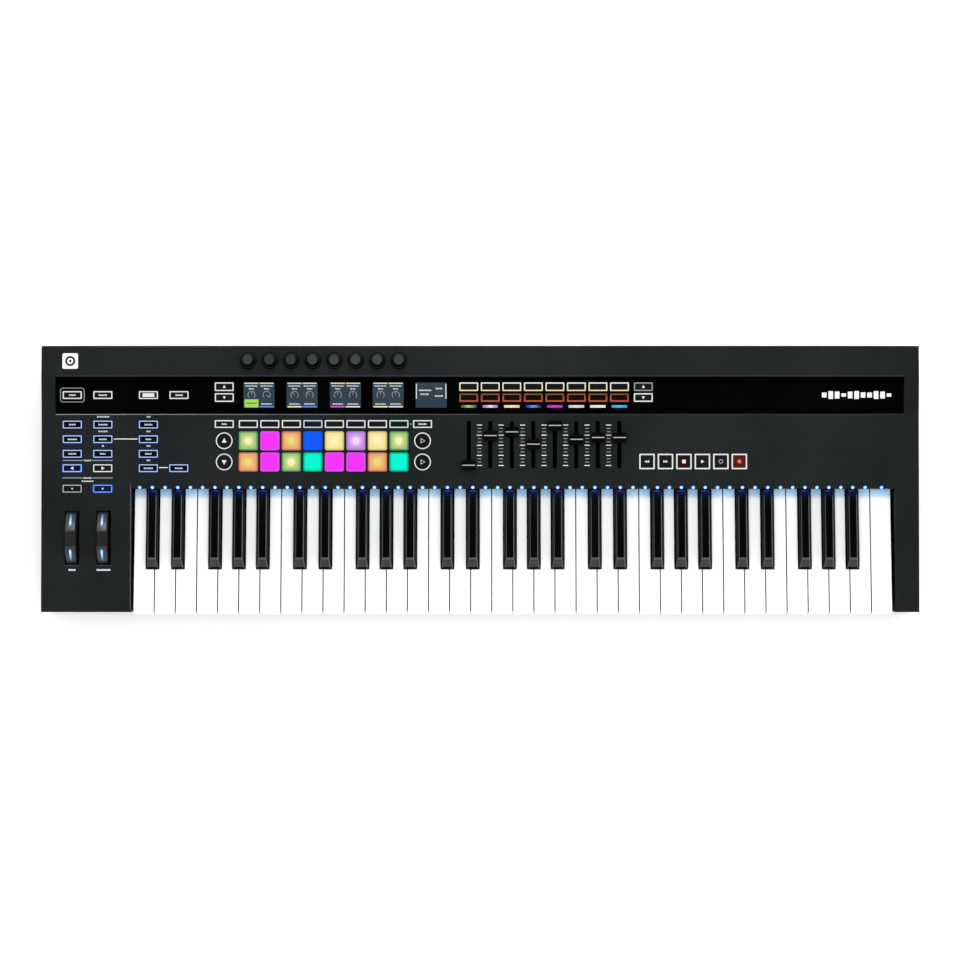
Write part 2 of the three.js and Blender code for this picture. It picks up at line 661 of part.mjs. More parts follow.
function displayWindow() {
  const middle = (WINDOW.left + WINDOW.right) / 2;
  const half = (WINDOW.right - WINDOW.left) / 2;
  const bottom = -WINDOW.recess + GAP;
  const sheet = boxGeometry(-half, half, -WINDOW.d / 2, WINDOW.d / 2, bottom, bottom + WINDOW.thick);
  const openings = [
    ...[...stripCaps, ...screenPlaces].map((c) => plug(STRIP, c, CAP_CLEARANCE, -CUT_PAST, CUT_PAST)),
  ];
  return solid(onSlope(STRIP, middle, WINDOW.y, sheet)).subtract(joined(openings));
}

// The board behind the window, with the five screens standing on it up to the window.
function displayBoard() {
  const board = plug(STRIP, cap(-135, SCREEN_Y, { w: 670, d: 32 }), 0, -9, -7.4);
  const backs = SCREEN_X.map((x) => plug(STRIP, cap(x, SCREEN_Y, { w: 38, d: 31 }), 0, -7.5, -3.5));
  const faces = screenPlaces.map((c) => plug(STRIP, c, 0, -4, -0.5));
  return joined([board, ...backs, ...faces]);
}

// The board under the deck, with the eight slide housings of the faders.
function mainBoard() {
  const top = -8;
  const pieces = [
    plug(DECK, cap(-84, 35, { w: 776, d: 64 }), 0, top - 1.6, top),
    plug(DECK, cap(-436, 5, { w: 72, d: 60 }), 0, top - 1.6, top),
  ];
  const grooves = [];
  for (let column = 0; column < COLUMNS; column += 1) {
    const x = columnX(SOFT_FIRST_X, column);
    pieces.push(plug(DECK, cap(x, FADER_SLOT_Y, { w: 9, d: 60 }), 0, top - 0.5, -3.6));
    grooves.push(plug(DECK, cap(x, FADER_SLOT_Y, { w: 3.2, d: FADER_SLOT.d + 1 }), 0, top + 0.5, 0));
  }
  return joined(pieces).subtract(joined(grooves));
}

function encoderBoard() {
  const middle = columnX(PAD_FIRST_X, (COLUMNS - 1) / 2);
  const pieces = [plug(LEDGE, cap(middle, ENCODER_Y, { w: 190, d: 20 }), 0, -10, -8.4)];
  const bores = [];
  for (let column = 0; column < COLUMNS; column += 1) {
    const x = columnX(PAD_FIRST_X, column);
    pieces.push(plug(LEDGE, cap(x, ENCODER_Y, { w: 12, d: 12 }), 0, -8.5, -3.5));
    bores.push(solid(onSlope(LEDGE, x, ENCODER_Y, disc(SHAFT_RADIUS + 0.4, -7.5, 0, SMALL_SIDES))));
  }
  return joined(pieces).subtract(joined(bores));
}

// The socket board with the panel that closes the window in the rear wall. Every socket is a block
// between the two, with a blind hole that faces the rear. The DIN sockets and the power inlet keep a
// core in the middle of the hole, and the data port keeps a tongue.
function jackBoard() {
  const boardTop = SOCKET_BOARD_Z + 1.6;
  const face = SOCKET_FACE_Y;
  const rear = CASE_REAR - GAP;
  const { left, right, bottom, top, thick } = PANEL;
  const pieces = [
    box(left, right, face - 46, rear - thick + 0.5, SOCKET_BOARD_Z, boardTop),
    box(left, right, rear - thick, rear, SOCKET_BOARD_Z, top),
  ];
  const w = SWITCH.w / 2 + CAP_CLEARANCE;
  const h = SWITCH.h / 2 + CAP_CLEARANCE;
  const holes = [box(SWITCH_X - w, SWITCH_X + w, face - 9, rear + 1, SOCKET_Z - h, SOCKET_Z + h)];
  const addSocket = (x, socket, hole) => {
    const half = socket.body / 2;
    pieces.push(box(x - half, x + half, face - socket.depth - 3, rear - 0.5, bottom, SOCKET_Z + half));
    holes.push(hole);
  };
  const addRound = (x, socket) => {
    const bore = rearward(socket.radius, x, SOCKET_Z, face - socket.depth, rear + 1);
    if (!socket.core) {
      addSocket(x, socket, bore);
      return;
    }
    const core = rearward(socket.core, x, SOCKET_Z, face - socket.depth - 1, face);
    addSocket(x, socket, bore.subtract(core));
  };
  DIN_X.forEach((x) => addRound(x, DIN));
  JACK_X.forEach((x) => addRound(x, JACK));
  MINI_JACK_X.forEach((x) => addRound(x, MINI_JACK));
  addRound(POWER_X, POWER);
  const usbBox = (width, height, y0, y1) => {
    const x = width / 2;
    const z = height / 2;
    return box(USB_X - x, USB_X + x, y0, y1, SOCKET_Z - z, SOCKET_Z + z);
  };
  const tongue = usbBox(USB.tongueW, USB.tongueH, face - USB.depth - 1, face - 1);
  const usb = usbBox(USB.w, USB.h, face - USB.depth, rear + 1).subtract(tongue);
  addSocket(USB_X, USB, usb);
  return joined(pieces).subtract(joined(holes));
}

// A rocker in the rear wall: its two faces meet in a shallow vee over the pivot.
function powerSwitch() {
  const h = SWITCH.h / 2;
  const outline = [
    [CASE_REAR - 8, SOCKET_Z - h + 1.5],
    [CASE_REAR - 1.6, SOCKET_Z - h + 0.7],
    [CASE_REAR - 0.4, SOCKET_Z],
    [CASE_REAR - 0.1, SOCKET_Z + h - 0.7],
    [CASE_REAR - 8, SOCKET_Z + h - 1.5],
  ];
  return solid(alongX(outline, SWITCH_X - SWITCH.w / 2, SWITCH_X + SWITCH.w / 2));
}

// ---- Assembly -----------------------------------------------------------------------------------

const CHARCOAL = 0x26292b;
const KEY_WHITE = 0xf4f5f3;
const KEY_BLACK = 0x111213;
const BOARD_GREEN = 0x1d4a35;
const RUBBER_BLACK = 0x16181a;

addPart('top_case', topCase(), CHARCOAL, 0.55);
addPart('bottom_case', bottomCase(), 0x1c1e20, 0.6);
addPart('display_window', displayWindow(), 0x050506, 0.08);
addPart('display_board', displayBoard(), 0x37505e, 0.4);
addPart('key_frame', keyFrame(), 0x8d9193, 0.4, 0.9);
addPart('key_felt', keyFelt(), 0x7a1f24, 1);
addPart('key_contact_board', keyContactBoard(), BOARD_GREEN, 0.6);
addPart('key_light_bar', keyLightBar(), 0x0c1420, 0.3);
addPart('main_board', mainBoard(), BOARD_GREEN, 0.6);
addPart('encoder_board', encoderBoard(), BOARD_GREEN, 0.6);
addPart('jack_board', jackBoard(), 0x101112, 0.5);
addPart('wheel_bracket', wheelBracket(), 0x2a2c2e, 0.6);

for (const [i, [x, y]] of [[-450, -122], [450, -122], [-450, 120], [450, 120]].entries()) {
  addPart(`foot_${i + 1}`, foot(x, y), 0x0e0e0f, 0.9);
}

for (let octave = 0; octave < OCTAVES; octave += 1) {
  addPart(`white_keys_ceg_${octave + 1}`, whiteComb(octave, [0, 2, 4, 6], RAIL_C), KEY_WHITE, 0.25);
  addPart(`white_keys_dfa_${octave + 1}`, whiteComb(octave, [1, 3, 5], RAIL_D), KEY_WHITE, 0.25);
  addPart(`black_keys_${octave + 1}`, blackComb(octave), KEY_BLACK, 0.35);
}
addPart('white_key_top_c', whiteComb(OCTAVES, [0], RAIL_C), KEY_WHITE, 0.25);

addPart('pitch_wheel', wheel(WHEEL_SLOT_X[0]), 0x3a3c3e, 0.7);
addPart('mod_wheel', wheel(WHEEL_SLOT_X[1]), 0x3a3c3e, 0.7);

for (let column = 0; column < COLUMNS; column += 1) {
  addPart(`encoder_knob_${column + 1}`, knob(columnX(PAD_FIRST_X, column)), 0x151617, 0.7);
  addPart(`fader_${column + 1}`, fader(columnX(SOFT_FIRST_X, column), FADER_Y[column]), 0x18191a, 0.6);
}

addPart('page_buttons', rowMat(STRIP, pageCaps, BUTTON_PROUD), RUBBER_BLACK, 0.7);
addPart('screen_arrows', rowMat(STRIP, screenArrowCaps, BUTTON_PROUD), RUBBER_BLACK, 0.7);
addPart('soft_buttons', rowMat(STRIP, softCaps, BUTTON_PROUD), RUBBER_BLACK, 0.7);
addPart('left_buttons', leftMat(), RUBBER_BLACK, 0.7);
addPart('pad_function_buttons', padFunctionMat(), RUBBER_BLACK, 0.7);
addPart('transport_buttons', rowMat(DECK, transportCaps, BUTTON_PROUD), RUBBER_BLACK, 0.7);
addPart('pads_rear_row', rowMat(DECK, padCaps[0], PAD_PROUD), 0xe8c890, 0.6);
addPart('pads_front_row', rowMat(DECK, padCaps[1], PAD_PROUD), 0xc070d0, 0.6);
addPart('power_switch', powerSwitch(), 0x0c0c0d, 0.5);

export default part;
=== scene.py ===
import math

import bmesh
import bpy
from mathutils import Matrix, Vector


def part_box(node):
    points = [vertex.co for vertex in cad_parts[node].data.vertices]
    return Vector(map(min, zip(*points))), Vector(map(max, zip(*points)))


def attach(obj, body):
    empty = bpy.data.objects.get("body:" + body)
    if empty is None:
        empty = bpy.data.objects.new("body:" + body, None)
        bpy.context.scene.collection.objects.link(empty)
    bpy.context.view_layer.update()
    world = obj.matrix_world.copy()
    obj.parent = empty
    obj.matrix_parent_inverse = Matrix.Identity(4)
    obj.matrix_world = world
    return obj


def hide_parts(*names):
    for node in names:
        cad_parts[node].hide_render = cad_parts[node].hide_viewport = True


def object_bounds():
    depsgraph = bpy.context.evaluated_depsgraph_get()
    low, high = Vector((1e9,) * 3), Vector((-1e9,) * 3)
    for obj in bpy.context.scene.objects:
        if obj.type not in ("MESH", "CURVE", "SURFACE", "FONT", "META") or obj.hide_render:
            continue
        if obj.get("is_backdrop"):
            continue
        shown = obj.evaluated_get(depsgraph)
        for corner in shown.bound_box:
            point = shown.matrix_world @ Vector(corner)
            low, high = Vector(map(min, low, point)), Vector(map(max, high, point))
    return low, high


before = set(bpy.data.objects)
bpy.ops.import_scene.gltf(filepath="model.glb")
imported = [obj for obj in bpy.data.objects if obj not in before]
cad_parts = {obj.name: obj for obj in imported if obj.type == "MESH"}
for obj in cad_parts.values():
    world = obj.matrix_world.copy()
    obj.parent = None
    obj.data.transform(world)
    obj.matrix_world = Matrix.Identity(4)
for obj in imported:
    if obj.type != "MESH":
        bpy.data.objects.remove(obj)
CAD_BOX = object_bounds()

# Looks of a 61-key controller keyboard. Sizes are in millimetres until a mesh is made; Blender's are in
# metres. X runs along the keys to the treble end, Y to the rear and Z up, as in the frame.

MM = 0.001


def span(node):
    """Lowest and highest corner of a CAD node, in millimetres."""
    low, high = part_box(node)
    return low / MM, high / MM


def middle(node):
    low, high = span(node)
    return (low + high) / 2


CASE_LOW = span("top_case")[0]
WINDOW_LOW, WINDOW_HIGH = span("display_window")
BAR_LOW, BAR_HIGH = span("key_light_bar")

OCTAVES = 5
KEY_PITCH = 23.4
KEY_GAP = 1
KEYS_LEFT = span("white_keys_ceg_1")[0].x - KEY_GAP / 2
WHITE_TOP = span("white_key_top_c")[1].z
BLACK_LOW, BLACK_HIGH = span("black_keys_1")

COLUMN_PITCH = 23.9
COLUMNS = 8
PAD_FIRST_X = middle("encoder_knob_1").x
SOFT_FIRST_X = middle("fader_1").x


# ---- Places on the sloping faces ----------------------------------------------------------------

class Face:
    """A sloping top face of the case. It rises to the rear from its front edge at (y, z)."""

    def __init__(self, y, z, degrees):
        self.y = y
        self.z = z
        self.tilt = math.radians(degrees)

    def height(self, y):
        return self.z + (y - self.y) * math.tan(self.tilt)

    def place(self, x, y, over=0.0):
        """The frame whose origin is over the face at (x, y), with Z along the face's normal."""
        foot = Matrix.Translation((x, y, self.height(y)))
        return foot @ Matrix.Rotation(self.tilt, 4, "X") @ Matrix.Translation((0, 0, over))


DECK = Face(CASE_LOW.y, 57, 6)
STRIP = Face(71.1, DECK.height(71.1), 11)
LEDGE = Face(113.9, STRIP.height(113.9), 3.5)


# ---- Colours and materials ----------------------------------------------------------------------

# How far in front of the light bar the keys start to be lit, and where they are fully lit.
GLOW_REACH = 10
GLOW_FULL = 6


def srgb(red, green, blue):
    """A colour of 0 to 255 as the linear values that Blender uses."""
    def linear(value):
        value /= 255
        return value / 12.92 if value <= 0.04045 else ((value + 0.055) / 1.055) ** 2.4

    return (linear(red), linear(green), linear(blue))


def mixed(first, second, part):
    return tuple(a + (b - a) * part for a, b in zip(first, second))


class Look:
    """A material under construction: a Principled shader and short calls for the nodes that feed it."""

    def __init__(self, name, **constants):
        self.material = bpy.data.materials.new(name)
        self.material.use_nodes = True
        tree = self.material.node_tree
        self.nodes = tree.nodes
        self.links = tree.links
        self.shader = self.nodes["Principled BSDF"]
        self.where = self.nodes.new("ShaderNodeTexCoord").outputs["Object"]
        self.feed(**constants)

    def put(self, socket, value):
        if isinstance(value, bpy.types.NodeSocket):
            self.links.new(value, socket)
        elif hasattr(value, "__len__") and len(value) == 3 and len(socket.default_value) == 4:
            socket.default_value = (*value, 1)
        else:
            socket.default_value = value

    def feed(self, **values):
        """Sets shader sockets; an underscore in a name stands for a space."""
        for name, value in values.items():
            self.put(self.shader.inputs[name.replace("_", " ")], value)
        return self

    def node(self, kind, inputs, **settings):
        made = self.nodes.new("ShaderNode" + kind)
        for name, value in settings.items():
            setattr(made, name, value)
        for name, value in inputs.items():
            self.put(made.inputs[name], value)
        return made

    def noise(self, per_metre, detail=2, stretch=(1, 1, 1)):
        """Noise with so many features per metre, drawn out along an axis whose stretch is small."""
        moved = self.node("Mapping", {"Vector": self.where, "Scale": stretch})
        made = self.node("TexNoise", {"Vector": moved.outputs[0], "Scale": per_metre, "Detail": detail})
        return made.outputs["Fac"]

    def between(self, value, low, high, start=0.3, end=0.7):
        """Value's stretch from start to end, spread from low to high."""
        ends = {"Value": value, "From Min": start, "From Max": end, "To Min": low, "To Max": high}
        return self.node("MapRange", ends).outputs["Result"]

    def shade(self, value, first, second):
        """The mix of two colours by value."""
        return self.node("Mix", {0: value, 6: first, 7: second}, data_type="RGBA").outputs[2]

    def axis(self, vector, name):
        return self.node("SeparateXYZ", {"Vector": vector}).outputs[name]

    def tint(self, output="Color"):
        return self.node("Attribute", {}, attribute_name="tint").outputs[output]

    def tint_times(self, level):
        inputs = {0: self.tint(), "Scale": level}
        return self.node("VectorMath", inputs, operation="SCALE").outputs[0]

    def bump(self, height, millimetres, strength=1.0):
        inputs = {"Height": height, "Distance": millimetres * MM, "Strength": strength}
        return self.feed(Normal=self.node("Bump", inputs).outputs["Normal"])


def moulded(name, dark, light, roughness, specular=0.5, grain=2600, depth=0.02):
    """Moulded plastic: soft clouds of two close shades, a spark-eroded grain and a smudged gloss."""
    look = Look(name, Specular_IOR_Level=specular)
    clouds = look.between(look.noise(9, 4), 0, 1, 0.35, 0.65)
    look.feed(Base_Color=look.shade(clouds, srgb(*dark), srgb(*light)))
    look.feed(Roughness=look.between(look.noise(55, 3), roughness - 0.05, roughness + 0.06))
    return look.bump(look.noise(grain), depth)


def glossy_key(name, dark, light, roughness, specular=0.5, glow=None, rim=None, side=None):
    """A key's plastic: polished along its length by playing, with hairline marks, and with painted light at
    its rear end where the key lights shine on it.

    Where its tint is dark it has a paler rim, a painted highlight along its edges, and its sides may be
    darker than its top, painted shade in the gaps between keys."""
    look = Look(name, Specular_IOR_Level=specular)
    colour = look.shade(look.between(look.noise(14, 3), 0, 1), srgb(*dark), srgb(*light))
    # Painted highlight: where the tint is dark, the rim colour lines the rounded top edges.
    if rim:
        colour = look.shade(look.tint("Fac"), srgb(*rim), colour)
    # Painted shade: steep sides turn to the side colour, the shade in the gaps between keys.
    if side:
        across = look.axis(look.node("NewGeometry", {}).outputs["Normal"], "X")
        steep = look.node("Math", {0: across}, operation="ABSOLUTE").outputs[0]
        colour = look.shade(look.between(steep, 0, 1, 0.9, 0.97), colour, srgb(*side))
    # Painted light: the key lights' glow on the rear end, in patches.
    if glow:
        start, end = (BAR_LOW.y - GLOW_REACH) * MM, (BAR_LOW.y - GLOW_FULL) * MM
        near = look.between(look.axis(look.where, "Y"), 0, 1, start, end)
        patches = look.between(look.noise(420), 0.68, 1.12)
        level = look.node("Math", {0: near, 1: patches}, operation="MULTIPLY", use_clamp=True).outputs[0]
        colour = look.shade(level, colour, srgb(*glow))
    look.feed(Base_Color=colour)
    hairs = look.noise(900, 2, (1, 0.04, 1))
    look.feed(Roughness=look.between(hairs, roughness - 0.04, roughness + 0.05))
    return look.bump(look.noise(160, 2, (1, 0.3, 1)), 0.05, 0.5)


def lit(name, roughness=0.35):
    """Light that comes through a face in the colours of the mesh's own tint."""
    look = Look(name, Base_Color=(0, 0, 0), Roughness=roughness, Specular_IOR_Level=0.12)
    grain = look.between(look.noise(900), 0.9, 1.06)
    return look.feed(Emission_Color=look.tint_times(grain), Emission_Strength=1.0)


def ink_and_painted_light_look(name):
    """Ink in the mesh's own tint, a little worn. Some pieces tint it to paint highlights and shade."""
    look = Look(name, Specular_IOR_Level=0.15)
    look.feed(Base_Color=look.tint_times(look.between(look.noise(1300, 3), 0.84, 1.02)))
    return look.feed(Roughness=look.between(look.noise(500), 0.4, 0.6))


def brushed(name, dark, light, roughness, stretch):
    """Metal with a brushed grain that runs along the axis with the small stretch."""
    look = Look(name, Metallic=1.0)
    lines = look.noise(1400, 3, stretch)
    look.feed(Base_Color=look.shade(look.between(lines, 0, 1), srgb(*dark), srgb(*light)))
    look.feed(Roughness=look.between(look.noise(90, 3), roughness - 0.06, roughness + 0.1))
    return look.bump(lines, 0.01)


def circuit_board(name):
    """Green solder mask over tracks that run in straight lanes."""
    look = Look(name, Coat_Weight=0.4, Coat_Roughness=0.25)
    moved = look.node("Mapping", {"Vector": look.where, "Scale": (260, 260, 260)})
    lanes = look.node("TexVoronoi", {"Vector": moved.outputs[0], "Scale": 1}, distance="CHEBYCHEV")
    tracks = look.between(lanes.outputs["Distance"], 0, 1, 0.3, 0.34)
    look.feed(Base_Color=look.shade(tracks, srgb(22, 70, 46), srgb(14, 48, 33)))
    look.feed(Roughness=look.between(look.noise(300), 0.3, 0.5))
    return look.bump(tracks, 0.04)


CASE = moulded("case_plastic", (18, 22, 23), (24, 27, 28), 0.48, 0.17)
# The rounded edges of the top case are a lighter grey than its faces: a painted highlight.
EDGE = moulded("case_edge", (36, 40, 42), (44, 48, 50), 0.3)
BASE = moulded("base_plastic", (20, 22, 23), (26, 28, 29), 0.62, 0.25, 1500, 0.04)
GLOSS = moulded("window_gloss", (1, 1, 1), (3, 3, 3), 0.08, 0.25, 500, 0.003)
SCREEN_GLASS = moulded("screen_glass", (40, 54, 64), (46, 60, 71), 0.2, 0.5, 3000, 0.002)
RUBBER = moulded("button_rubber", (9, 10, 11), (13, 14, 16), 0.6, 0.15, 3200, 0.015)
# The knob's cap, skirt and grip are lit and shaded copies of one rubber: the lighter cap is painted light
# on the face that looks up, and the near-black skirt and grip are painted shade on the sides and round the
# foot.
KNOB = moulded("knob_cap", (36, 40, 41), (52, 56, 58), 0.5, 0.3, 1500, 0.05)
SKIRT = moulded("knob_skirt", (10, 11, 12), (15, 16, 17), 0.4, 0.2, 1500, 0.02)
GRIP = moulded("knob_rubber", (3, 3, 4), (7, 7, 8), 0.5, 0.08, 1500, 0.03)
FADER = moulded("fader_plastic", (3, 4, 4), (7, 8, 8), 0.42, 0.04, 2600, 0.012)
WHEEL = moulded("wheel_rubber", (34, 36, 38), (42, 44, 46), 0.36, 0.9, 1800, 0.005)
# The notch floor is darker than the tread: painted shade in the finger groove.
NOTCH = moulded("wheel_notch", (14, 15, 15), (32, 33, 34), 0.6, 0.3, 900, 0.1)
FOOT = moulded("foot_rubber", (10, 10, 11), (17, 17, 18), 0.85, 0.5, 1100, 0.08)
SOCKET = moulded("socket_plastic", (9, 9, 10), (15, 15, 16), 0.45, 0.5, 2000)
# Near-black with almost no gloss: painted shade, for slots, holes and recesses.
PAINTED_SHADE = moulded("painted_shade_dark", (2, 2, 2), (4, 4, 4), 0.7, 0.03)
FELT = moulded("felt", (52, 12, 16), (74, 18, 24), 0.95, 0.5, 900, 0.3)

# Painted light on the black keys: the blue glow of the key lights on their rear ends, and a pale rim colour
# that paints a highlight along their top edges.
PAINTED_GLOW_AND_RIM = {"glow": (4, 12, 54), "rim": (112, 118, 120)}
# The white keys' side colour is painted shade in the gaps between them, and their glow colour is painted
# light from the key lights.
WHITE_KEY = glossy_key(
    "key_white", (237, 239, 239), (244, 245, 245), 0.3, glow=(178, 222, 255), side=(84, 86, 88)
)
BLACK_KEY = glossy_key("key_black", (3, 3, 4), (6, 6, 7), 0.16, 0.14, **PAINTED_GLOW_AND_RIM)
# The nose is a lighter grey copy of the black keys' plastic: a painted reflection on its sloping face.
NOSE = glossy_key("key_black_nose", (32, 35, 36), (42, 45, 46), 0.3, 0.3, rim=PAINTED_GLOW_AND_RIM["rim"])
KEY_SIDE = glossy_key("key_black_side", (5, 5, 6), (9, 9, 10), 0.45, 0.02, **PAINTED_GLOW_AND_RIM)

LIGHT = lit("lit_print")
PAD_LIGHT = lit("pad_light", 0.5)
INK_AND_PAINTED_LIGHT = ink_and_painted_light_look("ink_and_painted_light")
STEEL = brushed("frame_steel", (150, 153, 156), (180, 183, 186), 0.35, (0.05, 1, 1))
GOLD = brushed("contact_gold", (196, 160, 84), (222, 188, 110), 0.3, (1, 0.2, 1))
NICKEL = brushed("nickel", (160, 158, 152), (200, 198, 190), 0.24, (1, 1, 0.2))
BOARD = circuit_board("circuit_board")

PALE = srgb(238, 240, 240)
GREY = srgb(150, 154, 156)


# ---- Meshes -------------------------------------------------------------------------------------

WHITE = (1.0, 1.0, 1.0)
HERE = Matrix.Identity(4)


def turned(degrees, axis):
    return Matrix.Rotation(math.radians(degrees), 4, axis)


def moved(x, y, z=0.0):
    return Matrix.Translation((x, y, z))


def rounded(w, d, r, steps=4):
    """Points round a rectangle with round corners, anticlockwise about the origin."""
    r = min(r, w / 2, d / 2)
    points = []
    for quarter, (sx, sy) in enumerate(((1, 1), (-1, 1), (-1, -1), (1, -1))):
        for step in range(steps + 1):
            turn = math.radians(90 * (quarter + step / steps))
            points.append((sx * (w / 2 - r) + r * math.cos(turn), sy * (d / 2 - r) + r * math.sin(turn)))
    return points


def circle(r, sides=32):
    turns = [2 * math.pi * i / sides for i in range(sides)]
    return [(r * math.cos(turn), r * math.sin(turn)) for turn in turns]


def lifted(points, z):
    return [(x, y, z) for x, y in points]


def mirrored(rings):
    """The rings, and after them the same rings on the other side of X = 0 in the opposite order."""
    return rings + [[(-x, y, z) for x, y, z in ring] for ring in reversed(rings)]


class Piece:
    """Closed shapes in millimetres that become one mesh, with a tint for each point."""

    def __init__(self, name, *looks):
        self.name = name
        self.looks = looks
        self.points = []
        self.faces = []
        self.look_of_face = []
        self.tints = []

    def add(self, points, faces, place=HERE, look=0, tints=WHITE):
        first = len(self.points)
        self.points += [place @ Vector(p) for p in points]
        self.faces += [[first + i for i in face] for face in faces]
        self.look_of_face += [look] * len(faces)
        self.tints += list(tints) if hasattr(tints[0], "__len__") else [tints] * len(points)

    def loft(self, rings, place=HERE, look=0, tints=WHITE, closed=False, clockwise=False):
        """A skin through rings of the same number of points, with its ends filled or joined."""
        if clockwise:
            rings = [list(reversed(ring)) for ring in rings]
        size = len(rings[0])
        points = [point for ring in rings for point in ring]
        faces = []
        for k in range(len(rings) if closed else len(rings) - 1):
            a, b = k * size, (k + 1) % len(rings) * size
            for i in range(size):
                j = (i + 1) % size
                faces.append((a + i, a + j, b + j, b + i))
        if not closed:
            faces.append(tuple(reversed(range(size))))
            faces.append(tuple(range(len(points) - size, len(points))))
        if callable(tints):
            tints = [tints(*point) for point in points]
        elif hasattr(tints[0], "__len__"):
            tints = [tint for tint in tints for _ in range(size)]
        self.add(points, faces, place, look, tints)

    def block(self, w, d, r, low, high, edge, place=HERE, look=0, tint=WHITE, steps=3):
        """A block with round corners and a rounded top edge."""
        rings = [lifted(rounded(w, d, r), low)]
        for step in range(steps + 1):
            turn = math.radians(90 * step / steps)
            inset = edge * (1 - math.cos(turn))
            outline = rounded(w - 2 * inset, d - 2 * inset, max(r - inset, 0.05))
            rings.append(lifted(outline, high - edge + edge * math.sin(turn)))
        self.loft(rings, place, look, tint)

    def prism(self, outline, low, high, place=HERE, look=0, tint=WHITE):
        self.loft([lifted(outline, low), lifted(outline, high)], place, look, tint)

    def band(self, outer, inner, low, high, place=HERE, look=0, tint=WHITE):
        """A flat ring between two outlines with the same number of points."""
        rings = [lifted(outer, low), lifted(outer, high), lifted(inner, high), lifted(inner, low)]
        self.loft(rings, place, look, tint, closed=True)

    def outline(self, w, d, r, line, low, high, place=HERE, look=0, tint=WHITE):
        """A flat rectangular ring with round corners. Its line lies inside w and d."""
        inner = rounded(w - 2 * line, d - 2 * line, max(r - line, 0.05))
        self.band(rounded(w, d, r), inner, low, high, place, look, tint)

    def box(self, low, high, place=HERE, look=0, tint=WHITE):
        (x0, y0, z0), (x1, y1, z1) = low, high
        self.prism([(x0, y0), (x1, y0), (x1, y1), (x0, y1)], z0, z1, place, look, tint)

    def plate(self, w, d, low, high, place, look, tint, x=0, y=0):
        """A box whose plan is w by d with its middle at (x, y)."""
        self.box((x - w / 2, y - d / 2, low), (x + w / 2, y + d / 2, high), place, look, tint)

    def lathe(self, profile, place=HERE, look=0, tint=WHITE, sides=48):
        """A profile of (radius, height) turned about Z."""
        self.loft([lifted(circle(max(r, 0.01), sides), z) for r, z in profile], place, look, tint)

    def words(self, at, lengths, height, tint, low, look=1, gap=0.8):
        """Short blocks of uneven height in the place of a label, a run of them for each word."""
        x = -(sum(lengths) + gap * (len(lengths) - 1)) / 2
        for length in lengths:
            count = max(1, round(length / LETTER_PITCH))
            step = (length + LETTER_SPACE) / count
            for i in range(count):
                start, end = (x + i * step, -height / 2, low), x + (i + 1) * step - LETTER_SPACE
                self.box(start, (end, height * LETTER_TOPS[i % 4], low + LETTER_THICK), at, look, tint)
            x += length + gap

    def make(self, body, slot, *nodes, bevel=0.0, sharp=35):
        mesh = bpy.data.meshes.new(self.name)
        mesh.from_pydata([p * MM for p in self.points], [], self.faces)
        for look in self.looks:
            mesh.materials.append(look.material)
        mesh.polygons.foreach_set("material_index", self.look_of_face)
        tint = mesh.attributes.new("tint", "FLOAT_COLOR", "POINT")
        tint.data.foreach_set("color", [v for c in self.tints for v in (*c, 1.0)])
        mesh.shade_smooth()
        mesh.set_sharp_from_angle(angle=math.radians(sharp))
        mesh.validate()
        made = bpy.data.objects.new(self.name, mesh)
        bpy.context.scene.collection.objects.link(made)
        if bevel:
            soften(made, bevel)
        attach(made, body)
        if nodes:
            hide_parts(*nodes)


LETTER_PITCH = 1.5
LETTER_SPACE = 0.3
LETTER_THICK = 0.26
LETTER_TOPS = (0.5, 0.3, 0.42, 0.24)


def soften(made, millimetres):
    """Rounds a piece's sharp edges."""
    bevel = made.modifiers.new("edges", "BEVEL")
    bevel.width = millimetres * MM
    bevel.segments = 3
    bevel.limit_method = "ANGLE"
    bevel.angle_limit = math.radians(30)
    bevel.harden_normals = True
    bevel.miter_outer = "MITER_ARC"


# ---- Keys ---------------------------------------------------------------------------------------

BLACK_KEYS = {1: -2.4, 2: 2.4, 4: -3.1, 5: 0.0, 6: 3.1}
KEY_FRONT = -147.5
KEY_REAR = -4
KEY_THICK = 8
LIP_BOTTOM = 39
LIP_THICK = 2.2
SHANK_TOP = 54
SHANK_BOTTOM = 50
SHANK_WIDTH = 9
BLACK_WIDTH = 13.2
BLACK_TOP_WIDTH = 9.8
BLACK_FRONT = BLACK_LOW.y
BLACK_REAR = -10.7
BLACK_BOTTOM = 52
BLACK_NOSE = 10.3
BLACK_HEEL = 2.8
BLACK_CORNER = 1.3
BLACK_CROWN = 0.12

# Front, rear and bottom of the rails that the white keys of a comb share.
RAIL_C = (44.6, 50.6, 50)
RAIL_D = (34.2, 41, 44)
BLACK_RAIL = {"front": 24, "rear": 31, "low": 57, "high": 60.6, "half": 3}


def black_x(octave, line):
    return KEYS_LEFT + (octave * 7 + line) * KEY_PITCH + BLACK_KEYS[line]


def white_plan(octave, index):
    """Corners of a white key seen from above, from its front left corner, anticlockwise."""
    left = KEYS_LEFT + (octave * 7 + index) * KEY_PITCH + KEY_GAP / 2
    right = left + KEY_PITCH - KEY_GAP
    room = BLACK_WIDTH / 2 + KEY_GAP
    shoulder = BLACK_FRONT - KEY_GAP
    lower = index in BLACK_KEYS and octave < OCTAVES
    upper = index + 1 in BLACK_KEYS and octave < OCTAVES
    tail_left = black_x(octave, index) + room if lower else left
    tail_right = black_x(octave, index + 1) - room if upper else right
    points = [(left, KEY_FRONT), (right, KEY_FRONT)]
    if upper:
        points += [(right, shoulder), (tail_right, shoulder)]
    points += [(tail_right, KEY_REAR), (tail_left, KEY_REAR)]
    if lower:
        points += [(tail_left, shoulder), (left, shoulder)]
    return points


